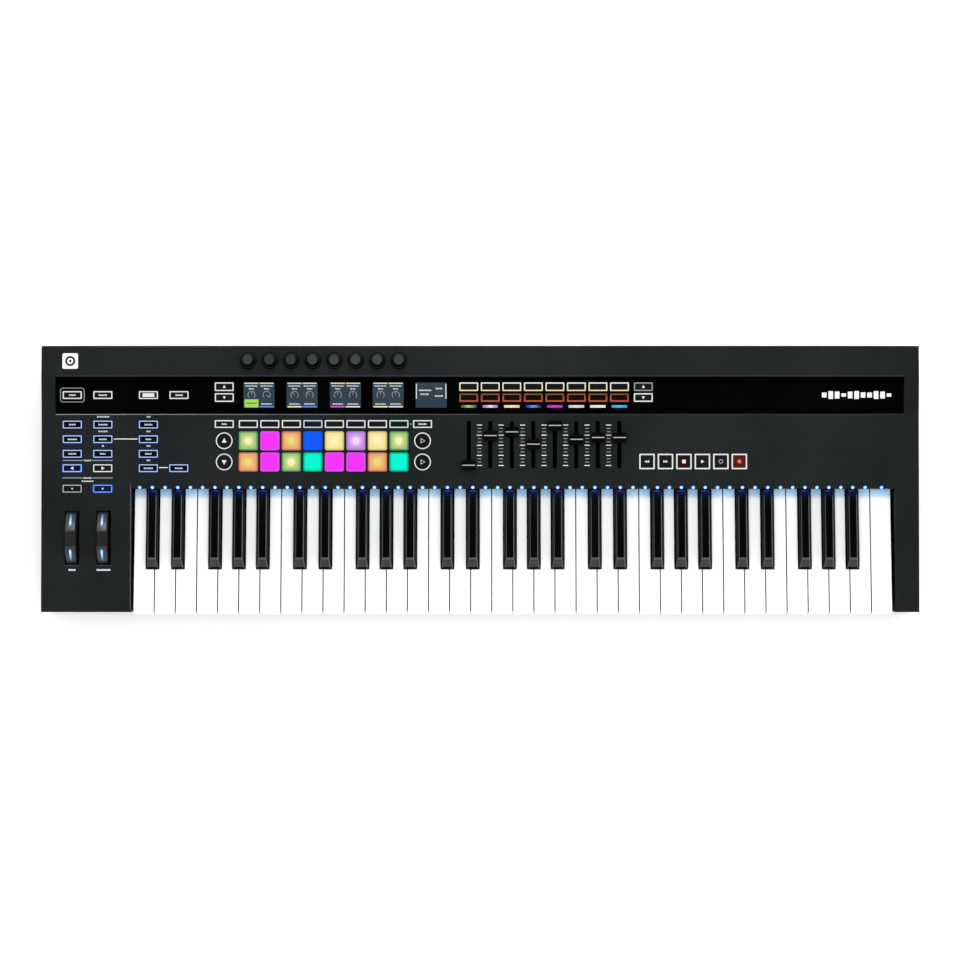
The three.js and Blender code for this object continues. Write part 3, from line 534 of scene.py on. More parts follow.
def tail_middle(plan):
    return sum(x for x, y in plan if y == KEY_REAR) / 2


def white_key(piece, plan):
    """The top block of a key in one piece with the lip that hangs from its front edge."""
    count = len(plan)
    block_bottom = WHITE_TOP - KEY_THICK
    inner = KEY_FRONT + LIP_THICK
    points = lifted(plan, WHITE_TOP) + lifted(plan, block_bottom)
    left, right = plan[0][0], plan[1][0]
    points[count:count + 2] = [(left, inner, block_bottom), (right, inner, block_bottom)]
    points += lifted([(left, KEY_FRONT), (right, KEY_FRONT), (right, inner), (left, inner)], LIP_BOTTOM)
    front_left, front_right, back_right, back_left = range(2 * count, 2 * count + 4)
    faces = [tuple(range(count)), tuple(reversed(range(count, 2 * count)))]
    faces.append((front_left, front_right, 1, 0))
    faces.append((front_right, back_right, count + 1, count + 2, 2, 1))
    faces += [(count + i, count + i + 1, i + 1, i) for i in range(2, count - 1)]
    faces.append((2 * count - 1, count, back_left, front_left, 0, count - 1))
    faces.append((back_right, back_left, count, count + 1))
    faces.append((front_left, back_left, back_right, front_right))
    piece.add(points, faces)


def white_comb(node, octave, indices, rail):
    piece = Piece(f"{node}_keys", WHITE_KEY)
    rail_front, rail_rear, rail_bottom = rail
    half = SHANK_WIDTH / 2
    plans = [white_plan(octave, index) for index in indices]
    for plan in plans:
        white_key(piece, plan)
        x = tail_middle(plan)
        piece.box((x - half, KEY_REAR - 1, SHANK_BOTTOM), (x + half, rail_rear, SHANK_TOP))
    low = (tail_middle(plans[0]) - half, rail_front, rail_bottom)
    piece.box(low, (tail_middle(plans[-1]) + half, rail_rear, SHANK_TOP - 0.2))
    piece.make(node, "key_white", node, bevel=0.75)


def black_section(y, top):
    """The outline of a black key across its length: straight foot, leaning sides and a crowned top."""
    foot = BLACK_WIDTH / 2
    lean = (BLACK_WIDTH - BLACK_TOP_WIDTH) / 2 / (BLACK_HIGH.z - WHITE_TOP)
    shoulder = max(top - BLACK_CORNER, BLACK_BOTTOM + 0.5)
    side = foot - lean * max(shoulder - WHITE_TOP, 0)
    half = foot - lean * max(top - WHITE_TOP, 0)
    right = [(foot, BLACK_BOTTOM), (foot, min(WHITE_TOP, shoulder - 0.1)), (side, shoulder)]
    for degrees in (30, 60, 90):
        turn = math.radians(degrees)
        x = half - BLACK_CORNER * (1 - math.cos(turn))
        right.append((x, shoulder + (top - shoulder - BLACK_CROWN) * math.sin(turn)))
    right.append((half * 0.4, top))
    left = [(-x, z) for x, z in reversed(right)]
    return [(x, y, z) for x, z in right + left]


# Points of a section that lie on its rounded top edges, with how little of the key's own colour they keep;
# the rest is the rim colour, a painted highlight.
RIM_TINTS = {4: (0.1, 0.1, 0.1), 9: (0.5, 0.5, 0.5)}
NOSE_RINGS = range(2, 6)
NOSE_POINTS = range(4, 9)
SIDE_POINTS = (0, 1, 2, 10, 11, 12)
# The crest of the nose keeps less than half of the key's colour as well: a painted highlight.
CREST_RING = 6
CREST_TINT = (0.45, 0.45, 0.45)


def black_key(piece, x):
    """A block with a sloping nose, rounded along its top edges and over the top of its nose."""
    top = BLACK_HIGH.z
    nose_low, nose_high = WHITE_TOP + 1.7, top - 1
    spots = [(BLACK_FRONT, WHITE_TOP - 0.6), (BLACK_FRONT + 0.25, WHITE_TOP + 0.5)]
    for step in range(4):
        part = step / 3
        y = BLACK_FRONT + 1.3 + part * (BLACK_NOSE - 3.2)
        spots.append((y, nose_low + part * (nose_high - nose_low)))
    for behind, drop in ((-0.6, 0.3), (1.2, 0.05), (4, 0)):
        spots.append((BLACK_FRONT + BLACK_NOSE + behind, top - drop))
    for back, drop in ((1.0, 0.0), (0.72, 0.12), (0.4, 0.45), (0.12, 0.95), (0.0, 1.5)):
        spots.append((BLACK_REAR - BLACK_HEEL * back, top - drop))
    rings = [black_section(y, z) for y, z in spots]
    size = len(rings[0])
    first, first_face = len(piece.tints), len(piece.faces)
    piece.loft(rings, moved(x, 0), clockwise=True)
    # The rim points take the rim colour: painted highlights along the top edges.
    piece.tints[first:] = [RIM_TINTS.get(i, WHITE) for i in reversed(range(size))] * len(rings)
    for ring in range(len(rings) - 1):
        for i in SIDE_POINTS if ring > 1 else range(size):
            piece.look_of_face[first_face + ring * size + i] = 2
    # The nose faces take the lighter nose look, a painted reflection, and the crest points take part of the
    # rim colour, a painted highlight.
    for i in NOSE_POINTS:
        piece.tints[first + CREST_RING * size + i] = CREST_TINT
        for ring in NOSE_RINGS:
            piece.look_of_face[first_face + ring * size + i] = 1


def black_comb(octave):
    node = f"black_keys_{octave + 1}"
    piece = Piece(f"{node}_keys", BLACK_KEY, NOSE, KEY_SIDE)
    front, rear, low, high, half = BLACK_RAIL.values()
    places = [black_x(octave, line) for line in BLACK_KEYS]
    for x in places:
        black_key(piece, x)
        piece.box((x - half, BLACK_REAR - 1, low), (x + half, rear, high))
    piece.box((places[0] - half, front, low), (places[-1] + half, rear, high - 0.1))
    piece.make(node, "key_black", node, sharp=50)


for octave in range(OCTAVES):
    white_comb(f"white_keys_ceg_{octave + 1}", octave, (0, 2, 4, 6), RAIL_C)
    white_comb(f"white_keys_dfa_{octave + 1}", octave, (1, 3, 5), RAIL_D)
    black_comb(octave)
white_comb("white_key_top_c", OCTAVES, (0,), RAIL_C)

# ---- Buttons and pads ---------------------------------------------------------------------------

# Heights over the face: how far a button stands proud, a cap's foot and top, the signs and the lit line on
# it, and the web under it. Then the gap round a cap and the size of a label.
BUTTON_PROUD = 1
CAP_FOOT = -3.5
CAP_TOP = BUTTON_PROUD - 0.12
SIGN_LOW = BUTTON_PROUD - 0.3
SIGN_HIGH = BUTTON_PROUD - 0.04
LINE_HIGH = BUTTON_PROUD - 0.02
WEB_LOW = -5.2
WEB_HIGH = -4
CAP_GAP = 0.1
LABEL_HEIGHT = 1.7

BUTTON = (21.5, 9)
SOFT = (21.3, 9.9)
ARROW = [(0.6, 0), (-0.4, 0.55), (-0.4, -0.55)]
SQUARE = [(-0.5, -0.5), (0.5, -0.5), (0.5, 0.5), (-0.5, 0.5)]
UP, LEFT, DOWN = 90, 180, 270


class Mat(Piece):
    """Rubber caps on webs under a sloping face. A cap is its middle, width and depth: (x, y, w, d)."""

    def __init__(self, node, face):
        super().__init__(f"{node}_caps", RUBBER, LIGHT)
        self.node = node
        self.face = face

    def at(self, cap):
        return self.face.place(cap[0], cap[1])

    def web(self, caps):
        """The thin sheet under the panel that the caps stand on."""
        x0 = min(x - w / 2 for x, y, w, d in caps)
        x1 = max(x + w / 2 for x, y, w, d in caps)
        y0 = min(y - d / 2 for x, y, w, d in caps)
        y1 = max(y + d / 2 for x, y, w, d in caps)
        at = self.face.place((x0 + x1) / 2, (y0 + y1) / 2)
        self.block(x1 - x0, y1 - y0, 1, WEB_LOW, WEB_HIGH, 0.2, at)
        for cap in caps:
            w, d = cap[2] - CAP_GAP, cap[3] - CAP_GAP
            self.block(w, d, 0.9, WEB_HIGH - 0.5, CAP_FOOT + 0.5, 0.2, self.at(cap))

    def button(self, cap, line, tint=PALE, fill=None):
        """A rubber cap whose raised edge is a lit line round a sunk field."""
        w, d = cap[2:]
        at = self.at(cap)
        self.block(w - CAP_GAP, d - CAP_GAP, 0.9, CAP_FOOT, CAP_TOP, 0.35, at)
        self.outline(w - 0.4, d - 0.4, 0.8, line, SIGN_LOW, LINE_HIGH, at, 1, tint)
        if fill:
            field = rounded(w - 2 * line - 1, d - 2 * line - 1, 0.3)
            self.prism(field, 0.5, BUTTON_PROUD - 0.1, at, 1, fill)

    def round_button(self, cap, line):
        size = cap[2] - CAP_GAP
        radius = cap[2] / 2 - 0.2
        self.block(size, size, cap[2] / 2, CAP_FOOT, CAP_TOP, 0.35, self.at(cap))
        outer, inner = circle(radius, 40), circle(radius - line, 40)
        self.band(outer, inner, SIGN_LOW, LINE_HIGH, self.at(cap), 1, PALE)

    def sign(self, cap, outline, tint=PALE, hole=None):
        """A small lit sign on a cap, with a hole in it where one is given."""
        if hole:
            self.band(outline, hole, SIGN_LOW, SIGN_HIGH, self.at(cap), 1, tint)
        else:
            self.prism(outline, SIGN_LOW, SIGN_HIGH, self.at(cap), 1, tint)

    def mark(self, cap, outline, size, turn=0, dx=0.0):
        """An outline of unit size as a sign, turned, scaled and moved."""
        c, s = math.cos(math.radians(turn)), math.sin(math.radians(turn))
        self.sign(cap, [(dx + size * (x * c - y * s), size * (x * s + y * c)) for x, y in outline])

    def label(self, cap, length, tint=PALE):
        self.words(self.at(cap), (length,), LABEL_HEIGHT, tint, SIGN_LOW)

    def done(self):
        self.make(self.node, "button_rubber", self.node)


def row_of_caps(first, y, size, count=COLUMNS, pitch=COLUMN_PITCH):
    return [(first + i * pitch, y, *size) for i in range(count)]


# The four page buttons, the two arrows left of the screens, and the two rows right of them.
STRIP_BUTTON_X = (-452.8, -418.9, -368.3, -334.3)
STRIP_MIDDLE = 92.8
SOFT_ROWS = (101.9, 90.1)
SCREEN_ARROW_X = -284.1
SOFT_ARROW_X = 181.1

page = Mat("page_buttons", STRIP)
page_caps = [(x, STRIP_MIDDLE, *BUTTON) for x in STRIP_BUTTON_X]
page.web(page_caps)
for cap, length in zip(page_caps, (7, 9, None, 8)):
    page.button(cap, 1.2)
    if length:
        page.label(cap, length)
    else:
        page.sign(cap, rounded(13, 4, 0.3))
page.done()

arrows = Mat("screen_arrows", STRIP)
arrow_caps = [(SCREEN_ARROW_X, y, *SOFT) for y in SOFT_ROWS]
arrows.web(arrow_caps)
for cap, turn in zip(arrow_caps, (UP, DOWN)):
    arrows.button(cap, 1.2)
    arrows.mark(cap, ARROW, 3.2, turn)
arrows.done()


def yellow_line(x, y, z):
    """White along the rear edge and yellow along the front edge."""
    return mixed(srgb(244, 238, 170), PALE, min(max(y / 3 + 0.4, 0), 1))


def red_line(x, y, z):
    """Bright along the front edge and dull along the rear edge."""
    return mixed(srgb(212, 70, 74), srgb(112, 52, 54), min(max(y / 6 + 0.45, 0), 1))


soft = Mat("soft_buttons", STRIP)
rear_caps, front_caps = (row_of_caps(SOFT_FIRST_X, y, SOFT) for y in SOFT_ROWS)
soft_arrow_caps = [(SOFT_ARROW_X, y, *SOFT) for y in SOFT_ROWS]
soft.web(rear_caps + front_caps + soft_arrow_caps)
for cap in rear_caps:
    soft.button(cap, 1.3, yellow_line)
for cap in front_caps:
    soft.button(cap, 1.1, red_line, srgb(24, 12, 11))
    w, d = SOFT[0] - 2.7, SOFT[1] - 2.7
    soft.outline(w, d, 0.4, 0.45, 0.5, BUTTON_PROUD - 0.06, soft.at(cap), 1, srgb(168, 124, 72))
for cap, turn, tint in zip(soft_arrow_caps, (UP, DOWN), (GREY, PALE)):
    soft.button(cap, 1.3, tint)
    soft.mark(cap, ARROW, 3.2, turn)
soft.done()

# The block of buttons at the bass end of the deck, and the light that spills round the lit ones.
LEFT_COLUMN_X = (-452.9, -419, -368.4, -334.6)
LEFT_ROW_Y = (60.4, 44.2, 28.1, 12.2, -10.4)
BLUE_HALO = srgb(10, 44, 156)

# Colours of line, field and halo: those of most buttons, and others by column and row.
LEFT_STYLE = (srgb(178, 202, 244), srgb(5, 10, 26), srgb(8, 24, 86))
OTHER_STYLES = {
    (0, 3): (LEFT_STYLE[0], srgb(8, 22, 66), BLUE_HALO),
    (1, 3): (PALE, None, None),
    (0, 4): (srgb(176, 180, 182), None, None),
    (1, 4): (srgb(128, 168, 240), srgb(8, 24, 84), BLUE_HALO),
}

left = Mat("left_buttons", DECK)
tall_caps = [(x, y, *BUTTON) for y in LEFT_ROW_Y for x in LEFT_COLUMN_X[:2]]
wide_caps = [(LEFT_COLUMN_X[2], y, *BUTTON) for y in LEFT_ROW_Y[:4]]
wide_caps.append((LEFT_COLUMN_X[3], LEFT_ROW_Y[3], *BUTTON))
left.web(tall_caps)
left.web(wide_caps)
glow = Piece("button_glow", LIGHT)
for cap in tall_caps + wide_caps:
    column, row = LEFT_COLUMN_X.index(cap[0]), LEFT_ROW_Y.index(cap[1])
    tint, fill, halo = OTHER_STYLES.get((column, row), LEFT_STYLE)
    left.button(cap, 1.1, tint, fill)
    if halo:
        glow.outline(BUTTON[0] + 2.1, BUTTON[1] + 2.1, 1.2, 1, -0.05, 0.03, left.at(cap), 0, halo)
    if row == 3 and column < 2:
        left.mark(cap, ARROW, 3.6, (LEFT, 0)[column])
    elif row == 4:
        left.mark(cap, SQUARE, 1.6)
    else:
        left.label(cap, (7, 10, 8.5, 6)[(row + column) % 4], srgb(214, 226, 246))
glow.make("case", "light_bar")
left.done()

# The pads, with a row of select buttons over them and two round buttons at each end.
PAD = 21.3
PAD_PROUD = 1.5
PAD_ROW_Y = (42.5, 19.1)
SELECT_Y = 61
PAD_SIDE_X = (-284.2, -64)
ROUND_SIZE = (19.0, 19.0)
# Outline tints of some select buttons, tinged by the coloured pads next to them: painted light from the
# pads.
SELECT_TINTS = {
    2: srgb(248, 242, 234),
    3: srgb(206, 220, 242),
    5: srgb(240, 234, 246),
    7: srgb(208, 234, 228),
}

functions = Mat("pad_function_buttons", DECK)
select_caps = row_of_caps(PAD_FIRST_X, SELECT_Y, BUTTON)
side_caps = [(x, SELECT_Y, *BUTTON) for x in PAD_SIDE_X]
left_rounds, right_rounds = ([(x, y, *ROUND_SIZE) for y in PAD_ROW_Y] for x in PAD_SIDE_X)
functions.web(select_caps + side_caps)
functions.web([side_caps[0], *left_rounds])
functions.web([side_caps[1], *right_rounds])
for i, cap in enumerate(select_caps + side_caps):
    functions.button(cap, 1.25, SELECT_TINTS.get(i, PALE))
functions.label(side_caps[0], 5.5)
functions.label(side_caps[1], 9)
for cap, turn in zip(left_rounds, (UP, DOWN)):
    functions.round_button(cap, 1.15)
    functions.mark(cap, ARROW, 5, turn)
for cap in right_rounds:
    functions.round_button(cap, 1.15)
    outer, inner = ([(size * x, size * y) for x, y in ARROW] for size in (5.4, 3.3))
    functions.sign(cap, outer, srgb(196, 199, 200), inner)
functions.done()

# Each pad's colours from its edge to its middle.
CREAM = srgb(255, 246, 190)
MAGENTA, AZURE, AQUA = srgb(246, 50, 252), srgb(10, 92, 252), srgb(0, 250, 214)
GREEN_PAD = (srgb(70, 150, 112), srgb(176, 206, 112), CREAM)
PINK_PAD = (srgb(224, 80, 232), MAGENTA, MAGENTA)
PEACH_PAD = (srgb(196, 120, 92), srgb(242, 176, 118), srgb(238, 224, 120))
BLUE_PAD = (srgb(18, 84, 220), AZURE, AZURE)
SAND_PAD = (srgb(214, 190, 120), srgb(248, 234, 158), CREAM)
LILAC_PAD = (srgb(168, 120, 196), srgb(206, 150, 236), srgb(250, 220, 255))
AQUA_PAD = (srgb(0, 176, 130), AQUA, AQUA)
REAR_PADS = (GREEN_PAD, PINK_PAD, PEACH_PAD, BLUE_PAD, SAND_PAD, LILAC_PAD, SAND_PAD, GREEN_PAD)
FRONT_PADS = (PEACH_PAD, PINK_PAD, GREEN_PAD, AQUA_PAD, PINK_PAD, PINK_PAD, PEACH_PAD, AQUA_PAD)


def pad(piece, x, y, edge, field, core):
    """A silicone pad with round corners and a soft edge. The light under it is brightest in the middle."""
    size, corner, round_over = PAD - CAP_GAP, 2.2, 0.8
    rings = [lifted(rounded(size, size, corner), -3.9)]
    tints = [mixed(edge, (0, 0, 0), 0.8)]
    for degrees in (0, 30, 60, 90):
        turn = math.radians(degrees)
        inset = round_over * (1 - math.cos(turn))
        outline = rounded(size - 2 * inset, size - 2 * inset, corner - inset)
        rings.append(lifted(outline, PAD_PROUD - round_over + round_over * math.sin(turn)))
        tints.append(edge)
    for inset, tint in (
        (1.9, mixed(edge, field, 0.75)),
        (3.2, field),
        (5.2, mixed(field, core, 0.3)),
        (7.0, mixed(field, core, 0.85)),
        (8.2, core),
    ):
        corner_now = min(corner + (inset - round_over) * 0.9, PAD / 2 - inset)
        outline = rounded(size - 2 * inset, size - 2 * inset, corner_now)
        rings.append(lifted(outline, PAD_PROUD + 0.01 * inset))
        tints.append(tint)
    piece.loft(rings, DECK.place(x, y), 0, tints)


for node, y, pads in zip(("pads_rear_row", "pads_front_row"), PAD_ROW_Y, (REAR_PADS, FRONT_PADS)):
    row = Piece(f"{node}_caps", PAD_LIGHT, RUBBER)
    web_width = (COLUMNS - 1) * COLUMN_PITCH
    at = DECK.place(PAD_FIRST_X + web_width / 2, y)
    row.block(web_width + PAD, PAD, 1, WEB_LOW, WEB_HIGH, 0.2, at, 1)
    for column, colours in enumerate(pads):
        pad(row, PAD_FIRST_X + column * COLUMN_PITCH, y, *colours)
    row.make(node, "pad_silicone", node)

# The six transport buttons.
TRANSPORT_X = 185.2
TRANSPORT_Y = 19.6
TRANSPORT_PITCH = 20.5

transport = Mat("transport_buttons", DECK)
transport_caps = row_of_caps(TRANSPORT_X, TRANSPORT_Y, (17.6, 17.6), 6, TRANSPORT_PITCH)
back, forward, stop, play, loop, record = transport_caps
transport.web(transport_caps)
for cap in transport_caps:
    transport.button(cap, 1.5, PALE, {stop: srgb(44, 20, 14), record: srgb(84, 30, 22)}.get(cap))
for cap, turn in ((back, LEFT), (forward, 0)):
    for dx in (-1.25, 1.25):
        transport.mark(cap, ARROW, 2.7, turn, dx)
transport.mark(stop, SQUARE, 4)
transport.mark(play, ARROW, 3.6)
transport.sign(loop, circle(2.6, 28), GREY, circle(1.5, 28))
transport.sign(record, circle(2.1, 28), srgb(255, 120, 84))
transport.done()

# ---- Wheels, knobs and faders -------------------------------------------------------------------

WHEEL_RADIUS = 34
WHEEL_WIDTH = 11.6
TREAD_RADIUS = WHEEL_RADIUS - 0.05
NOTCH_TURN = math.radians(-3)
NOTCH_HALF = math.radians(16.2)
NOTCH_WALL = math.radians(2.2)
NOTCH_DEPTH = 2.6
NOTCH_EDGE = 0.86
RIB_DEPTH = 0.22
RIBS = 132
TREAD_POINTS = RIBS * 4


def round_wheel(x, radius, turn):
    """A point of a wheel about X. Angle 0 is the top, and angles grow to the rear."""
    return (x, radius * math.sin(turn), radius * math.cos(turn))


def from_notch(turn):
    return abs((turn - NOTCH_TURN + math.pi) % (2 * math.pi) - math.pi)


def tread_radius(turn, ribbed):
    """The tread's radius at an angle. The notch has steep walls and a ribbed floor."""
    off = from_notch(turn)
    if off < NOTCH_HALF - NOTCH_WALL:
        sag = NOTCH_DEPTH * (NOTCH_EDGE + (1 - NOTCH_EDGE) * math.cos(off / NOTCH_HALF * math.pi / 2))
        return TREAD_RADIUS - sag - (0.1 * math.cos(RIBS * turn) if ribbed else 0)
    if off < NOTCH_HALF:
        return TREAD_RADIUS - NOTCH_EDGE * NOTCH_DEPTH * (NOTCH_HALF - off) / NOTCH_WALL
    return TREAD_RADIUS - (RIB_DEPTH * 0.25 * (1 - math.cos(RIBS * turn)) if ribbed else 0)


def tread(inset, x, ribbed):
    """The wheel's outline across X, drawn in by inset."""
    turns = [2 * math.pi * i / TREAD_POINTS for i in range(TREAD_POINTS)]
    return [round_wheel(x, tread_radius(turn, ribbed) - inset, turn) for turn in turns]


def wheel(node):
    centre = middle(node)
    at = moved(centre.x, centre.y, span(node)[0].z + WHEEL_RADIUS) @ turned(math.degrees(DECK.tilt), "X")
    piece = Piece(f"{node}_tyre", WHEEL, LIGHT, NOTCH)
    half = WHEEL_WIDTH / 2
    edge = ((1.5, 0), (0.6, 0.15), (0.15, 0.55))
    rings = [tread(inset, across - half, False) for inset, across in edge]
    rings = mirrored([*rings, tread(0, 1.3 - half, True)])
    piece.loft(rings, at, clockwise=True)
    to_wheel = at.inverted()
    # Faces on the notch floor take the darker notch look: painted shade in the groove.
    for i, face in enumerate(piece.faces):
        corners = [to_wheel @ piece.points[corner] for corner in face]
        if len(face) == 4 and all(on_notch_floor(corner) for corner in corners):
            piece.look_of_face[i] = 2
    axle = at @ turned(90, "Y")
    piece.lathe([(3, -9.4), (3, 9.4)], axle, 2, sides=24)
    hub = half + 0.3
    piece.lathe([(7, -hub), (8, -hub), (8, hub), (7, hub)], axle, 2, sides=40)
    light_strip(piece, at, 1, math.radians(9), math.radians(29))
    light_strip(piece, at, -1, math.radians(3.3), math.radians(27.8))
    piece.make(node, "wheel_rubber", node, sharp=40)


def on_notch_floor(point):
    return from_notch(math.atan2(point.y, point.z)) < NOTCH_HALF - NOTCH_WALL * 0.5


def light_strip(piece, at, side, start, sweep):
    """A thin light let into the tread, brightest at its end beside the notch."""
    steps, width = 14, 2.4
    rings = []
    tints = []
    for step in range(steps + 1):
        part = step / steps
        turn = NOTCH_TURN + side * (NOTCH_HALF + start + sweep * part)
        fade = (1 - part) ** 0.8
        half = width / 2 * (1 - 0.25 * part)
        section = ((-half, -0.3), (half, -0.3), (half, 0.04), (-half, 0.04))
        rings.append([round_wheel(x, TREAD_RADIUS + over, turn) for x, over in section[::side]])
        blue = mixed(srgb(0, 92, 240), srgb(180, 238, 255), fade * min(part * 5, 1))
        tints.append(tuple(value * (0.5 + 1.3 * fade) for value in blue))
    piece.loft(rings, at, 1, tints, clockwise=True)


wheel("pitch_wheel")
wheel("mod_wheel")

KNOB_NODES = [f"encoder_knob_{column + 1}" for column in range(COLUMNS)]
LEDGE_Y = 130.5
KNOB_HEIGHT = 12.4
KNOB_FLUTES = 26
KNOB_SKIRT = [(3, 0.6), (7.9, 0.6), (8.3, 0.8), (8.35, 1.9), (8.2, 2.4), (7.7, 2.75), (7.0, 2.85), (3, 2.9)]

# The grip as (height, radius, depth of its flutes), and the cap in it as (radius, height from KNOB_HEIGHT).
KNOB_GRIP = (
    (2.6, 6.9, 0.0),
    (3.0, 6.9, 0.18),
    (KNOB_HEIGHT - 2.6, 6.2, 0.18),
    (KNOB_HEIGHT - 1.5, 6.0, 0.1),
    (KNOB_HEIGHT - 0.8, 5.75, 0.0),
    (KNOB_HEIGHT - 0.65, 5.4, 0.0),
)
KNOB_CAP = [(5.45, -1.2), (5.45, -0.5), (5.25, -0.2), (4.9, -0.1)]
KNOB_CAP += [(4.7, -0.15), (4.5, -0.42), (2, -0.5), (0, -0.52)]


def knob(node):
    """A rubber knob: a skirt, a fluted grip that tapers, and a dished top with a rim."""
    at = LEDGE.place(middle(node).x, LEDGE_Y)
    piece = Piece(f"{node}_grip", GRIP, SKIRT, KNOB)
    piece.lathe(KNOB_SKIRT, at, 1)
    sides = KNOB_FLUTES * 6
    rings = []
    for z, radius, depth in KNOB_GRIP:
        ring = []
        for i in range(sides):
            turn = 2 * math.pi * i / sides
            now = radius - depth * (1 - math.cos(KNOB_FLUTES * turn))
            ring.append((now * math.cos(turn), now * math.sin(turn), z))
        rings.append(ring)
    piece.loft(rings, at)
    piece.lathe([(radius, KNOB_HEIGHT + z) for radius, z in KNOB_CAP], at, 2)
    piece.lathe([(3, -7), (3, 0.7)], at, 1, sides=24)
    piece.make(node, "knob_rubber", node, sharp=50)


for node in KNOB_NODES:
    knob(node)

FADER_WIDTH = 15
FADER_DEPTH = 11
FADER_TOP = 9.3
FADER_BOTTOM = 1.2
FADER_SLOT_Y = 38.2


def fader_section(x, inset):
    """A fader cap's outline from front to rear: scooped slopes that rise to a narrow ridge."""
    half = FADER_DEPTH / 2 - inset
    front = [(-half, FADER_BOTTOM), (-half, FADER_BOTTOM + 2.6)]
    rise = FADER_TOP - inset - FADER_BOTTOM - 3.3
    for step in range(1, 7):
        part = step / 7
        front.append(((half - 1) * part - half, FADER_BOTTOM + 2.9 + rise * part ** 1.7))
    front += [(-0.95, FADER_TOP - 0.35 - inset), (-0.7, FADER_TOP - inset)]
    rear = [(-y, z) for y, z in reversed(front)]
    return [(x, y, z) for y, z in front + rear]


def fader(node, x):
    y = span(node)[1].y - FADER_DEPTH / 2 * math.cos(DECK.tilt) + FADER_BOTTOM * math.sin(DECK.tilt)
    at = DECK.place(x, y)
    piece = Piece(f"{node}_cap", FADER, LIGHT)
    ends = ((0, 0.45), (0.15, 0.15), (0.5, 0.0))
    rings = mirrored([fader_section(across - FADER_WIDTH / 2, inset) for across, inset in ends])
    piece.loft(rings, at, clockwise=True)
    # The line along the ridge is white print in the lit look, so it glows: painted light.
    line = srgb(188, 190, 190)
    piece.block(FADER_WIDTH - 1, 1.15, 0.15, FADER_TOP - 0.5, FADER_TOP + 0.03, 0.08, at, 1, line)
    piece.box((-1.1, -2, -7), (1.1, 2, FADER_BOTTOM + 1), at)
    piece.make(node, "fader_plastic", node, sharp=40)


# The dust shields under the slots take the near-black painted-shade look, for the shade down in the slots.
shields = Piece("fader_dust_shields", PAINTED_SHADE)
for column in range(COLUMNS):
    node = f"fader_{column + 1}"
    x = middle(node).x
    fader(node, x)
    at = DECK.place(x, FADER_SLOT_Y)
    for side in (-1, 1):
        shields.block(2.1, 54, 0.3, -4.4, -3.4, 0.2, at @ moved(side * 2.4, 0))
    shields.block(3.1, 53, 0.3, -7.9, -7.25, 0.2, at)
shields.make("case", "base_plastic")

# ---- Case ---------------------------------------------------------------------------------------

def settle(elements):
    """Puts the edges or faces of a mesh in an order that is the same on every run."""
    ordered = sorted(elements, key=lambda element: sorted(corner.index for corner in element.verts))
    places = {element: place for place, element in enumerate(ordered)}
    elements.sort(key=places.get)


def shell(node, look, rim, edge, shortest, segments=4):
    """A copy of a CAD shell with its flat faces whole again and its long outer edges rounded."""
    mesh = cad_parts[node].data.copy()
    work = bmesh.new()
    work.from_mesh(mesh)
    bmesh.ops.remove_doubles(work, verts=work.verts, dist=0.00001)
    bmesh.ops.dissolve_limit(work, angle_limit=math.radians(0.5), verts=work.verts, edges=work.edges)
    for face in work.faces:
        face.smooth = False
    long_edges = []
    for line in work.edges:
        if line.is_manifold and line.is_convex and line.calc_length() > shortest * MM:
            if line.calc_face_angle() > math.radians(25):
                long_edges.append(line)
    rounds = bmesh.ops.bevel(
        work, geom=long_edges, offset=edge * MM, offset_type="OFFSET", segments=segments,
        profile=0.5, affect="EDGES", clamp_overlap=False,
    )
    # The rounded faces take the rim look; on the top case it is lighter than the case, a painted highlight
    # on its edges.
    for face in rounds["faces"]:
        face.smooth = True
        face.material_index = 1
    bmesh.ops.triangulate(work, faces=[face for face in work.faces if len(face.verts) > 4])
    work.verts.index_update()
    settle(work.edges)
    settle(work.faces)
    work.to_mesh(mesh)
    work.free()
    mesh.materials.clear()
    mesh.materials.append(look.material)
    mesh.materials.append(rim.material)
    made = bpy.data.objects.new(f"{node}_shell", mesh)
    bpy.context.scene.collection.objects.link(made)
    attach(made, "case")
    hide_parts(node)


shell("top_case", CASE, EDGE, 0.7, 75)
shell("bottom_case", BASE, BASE, 1.2, 75)
shell("display_window", GLOSS, GLOSS, 0.25, 30, 3)

# ---- Rear panel and underside --------------------------------------------------------------------

SOCKET_Z = 54
PANEL_LOW, PANEL_HIGH = span("jack_board")
DIN_X = (-40, -14, 12)
JACK_X = (52, 76, 100)
MINI_X = tuple(132 + 16 * i for i in range(7))
POWER_X, SWITCH_X, USB_X = -150, -118, -82
DIN_SUNK = 1.6
PIN_CIRCLE = 4.2

fittings = Piece("rear_fittings", NICKEL, SOCKET, INK_AND_PAINTED_LIGHT, GOLD)


def facing_rear(x, z=SOCKET_Z, out=0.0):
    """The frame on the rear panel at (x, z) with Z pointing to the rear."""
    return moved(x, PANEL_HIGH.y + out, z) @ turned(-90, "X")


def ring(at, outer, inner, high, look=0, sides=32):
    """A ring on the rear panel with narrow chamfers."""
    edge = 0.2
    section = [(outer, 0), (outer, high - edge), (outer - edge, high)]
    section += [(inner + edge, high), (inner, high - edge), (inner, 0)]
    fittings.loft([lifted(circle(r, sides), z) for r, z in section], at, look, closed=True)


def screw(piece, at, profile, cross, look, tint, sides):
    """A domed head with a cross in it: first angle, half length, half width, bottom and top of its arms."""
    piece.lathe(profile, at, 0, sides=sides)
    start, length, width, low, high = cross
    for turn in (0, 90):
        piece.box((-length, -width, low), (length, width, high), at @ turned(turn + start, "Z"), look, tint)


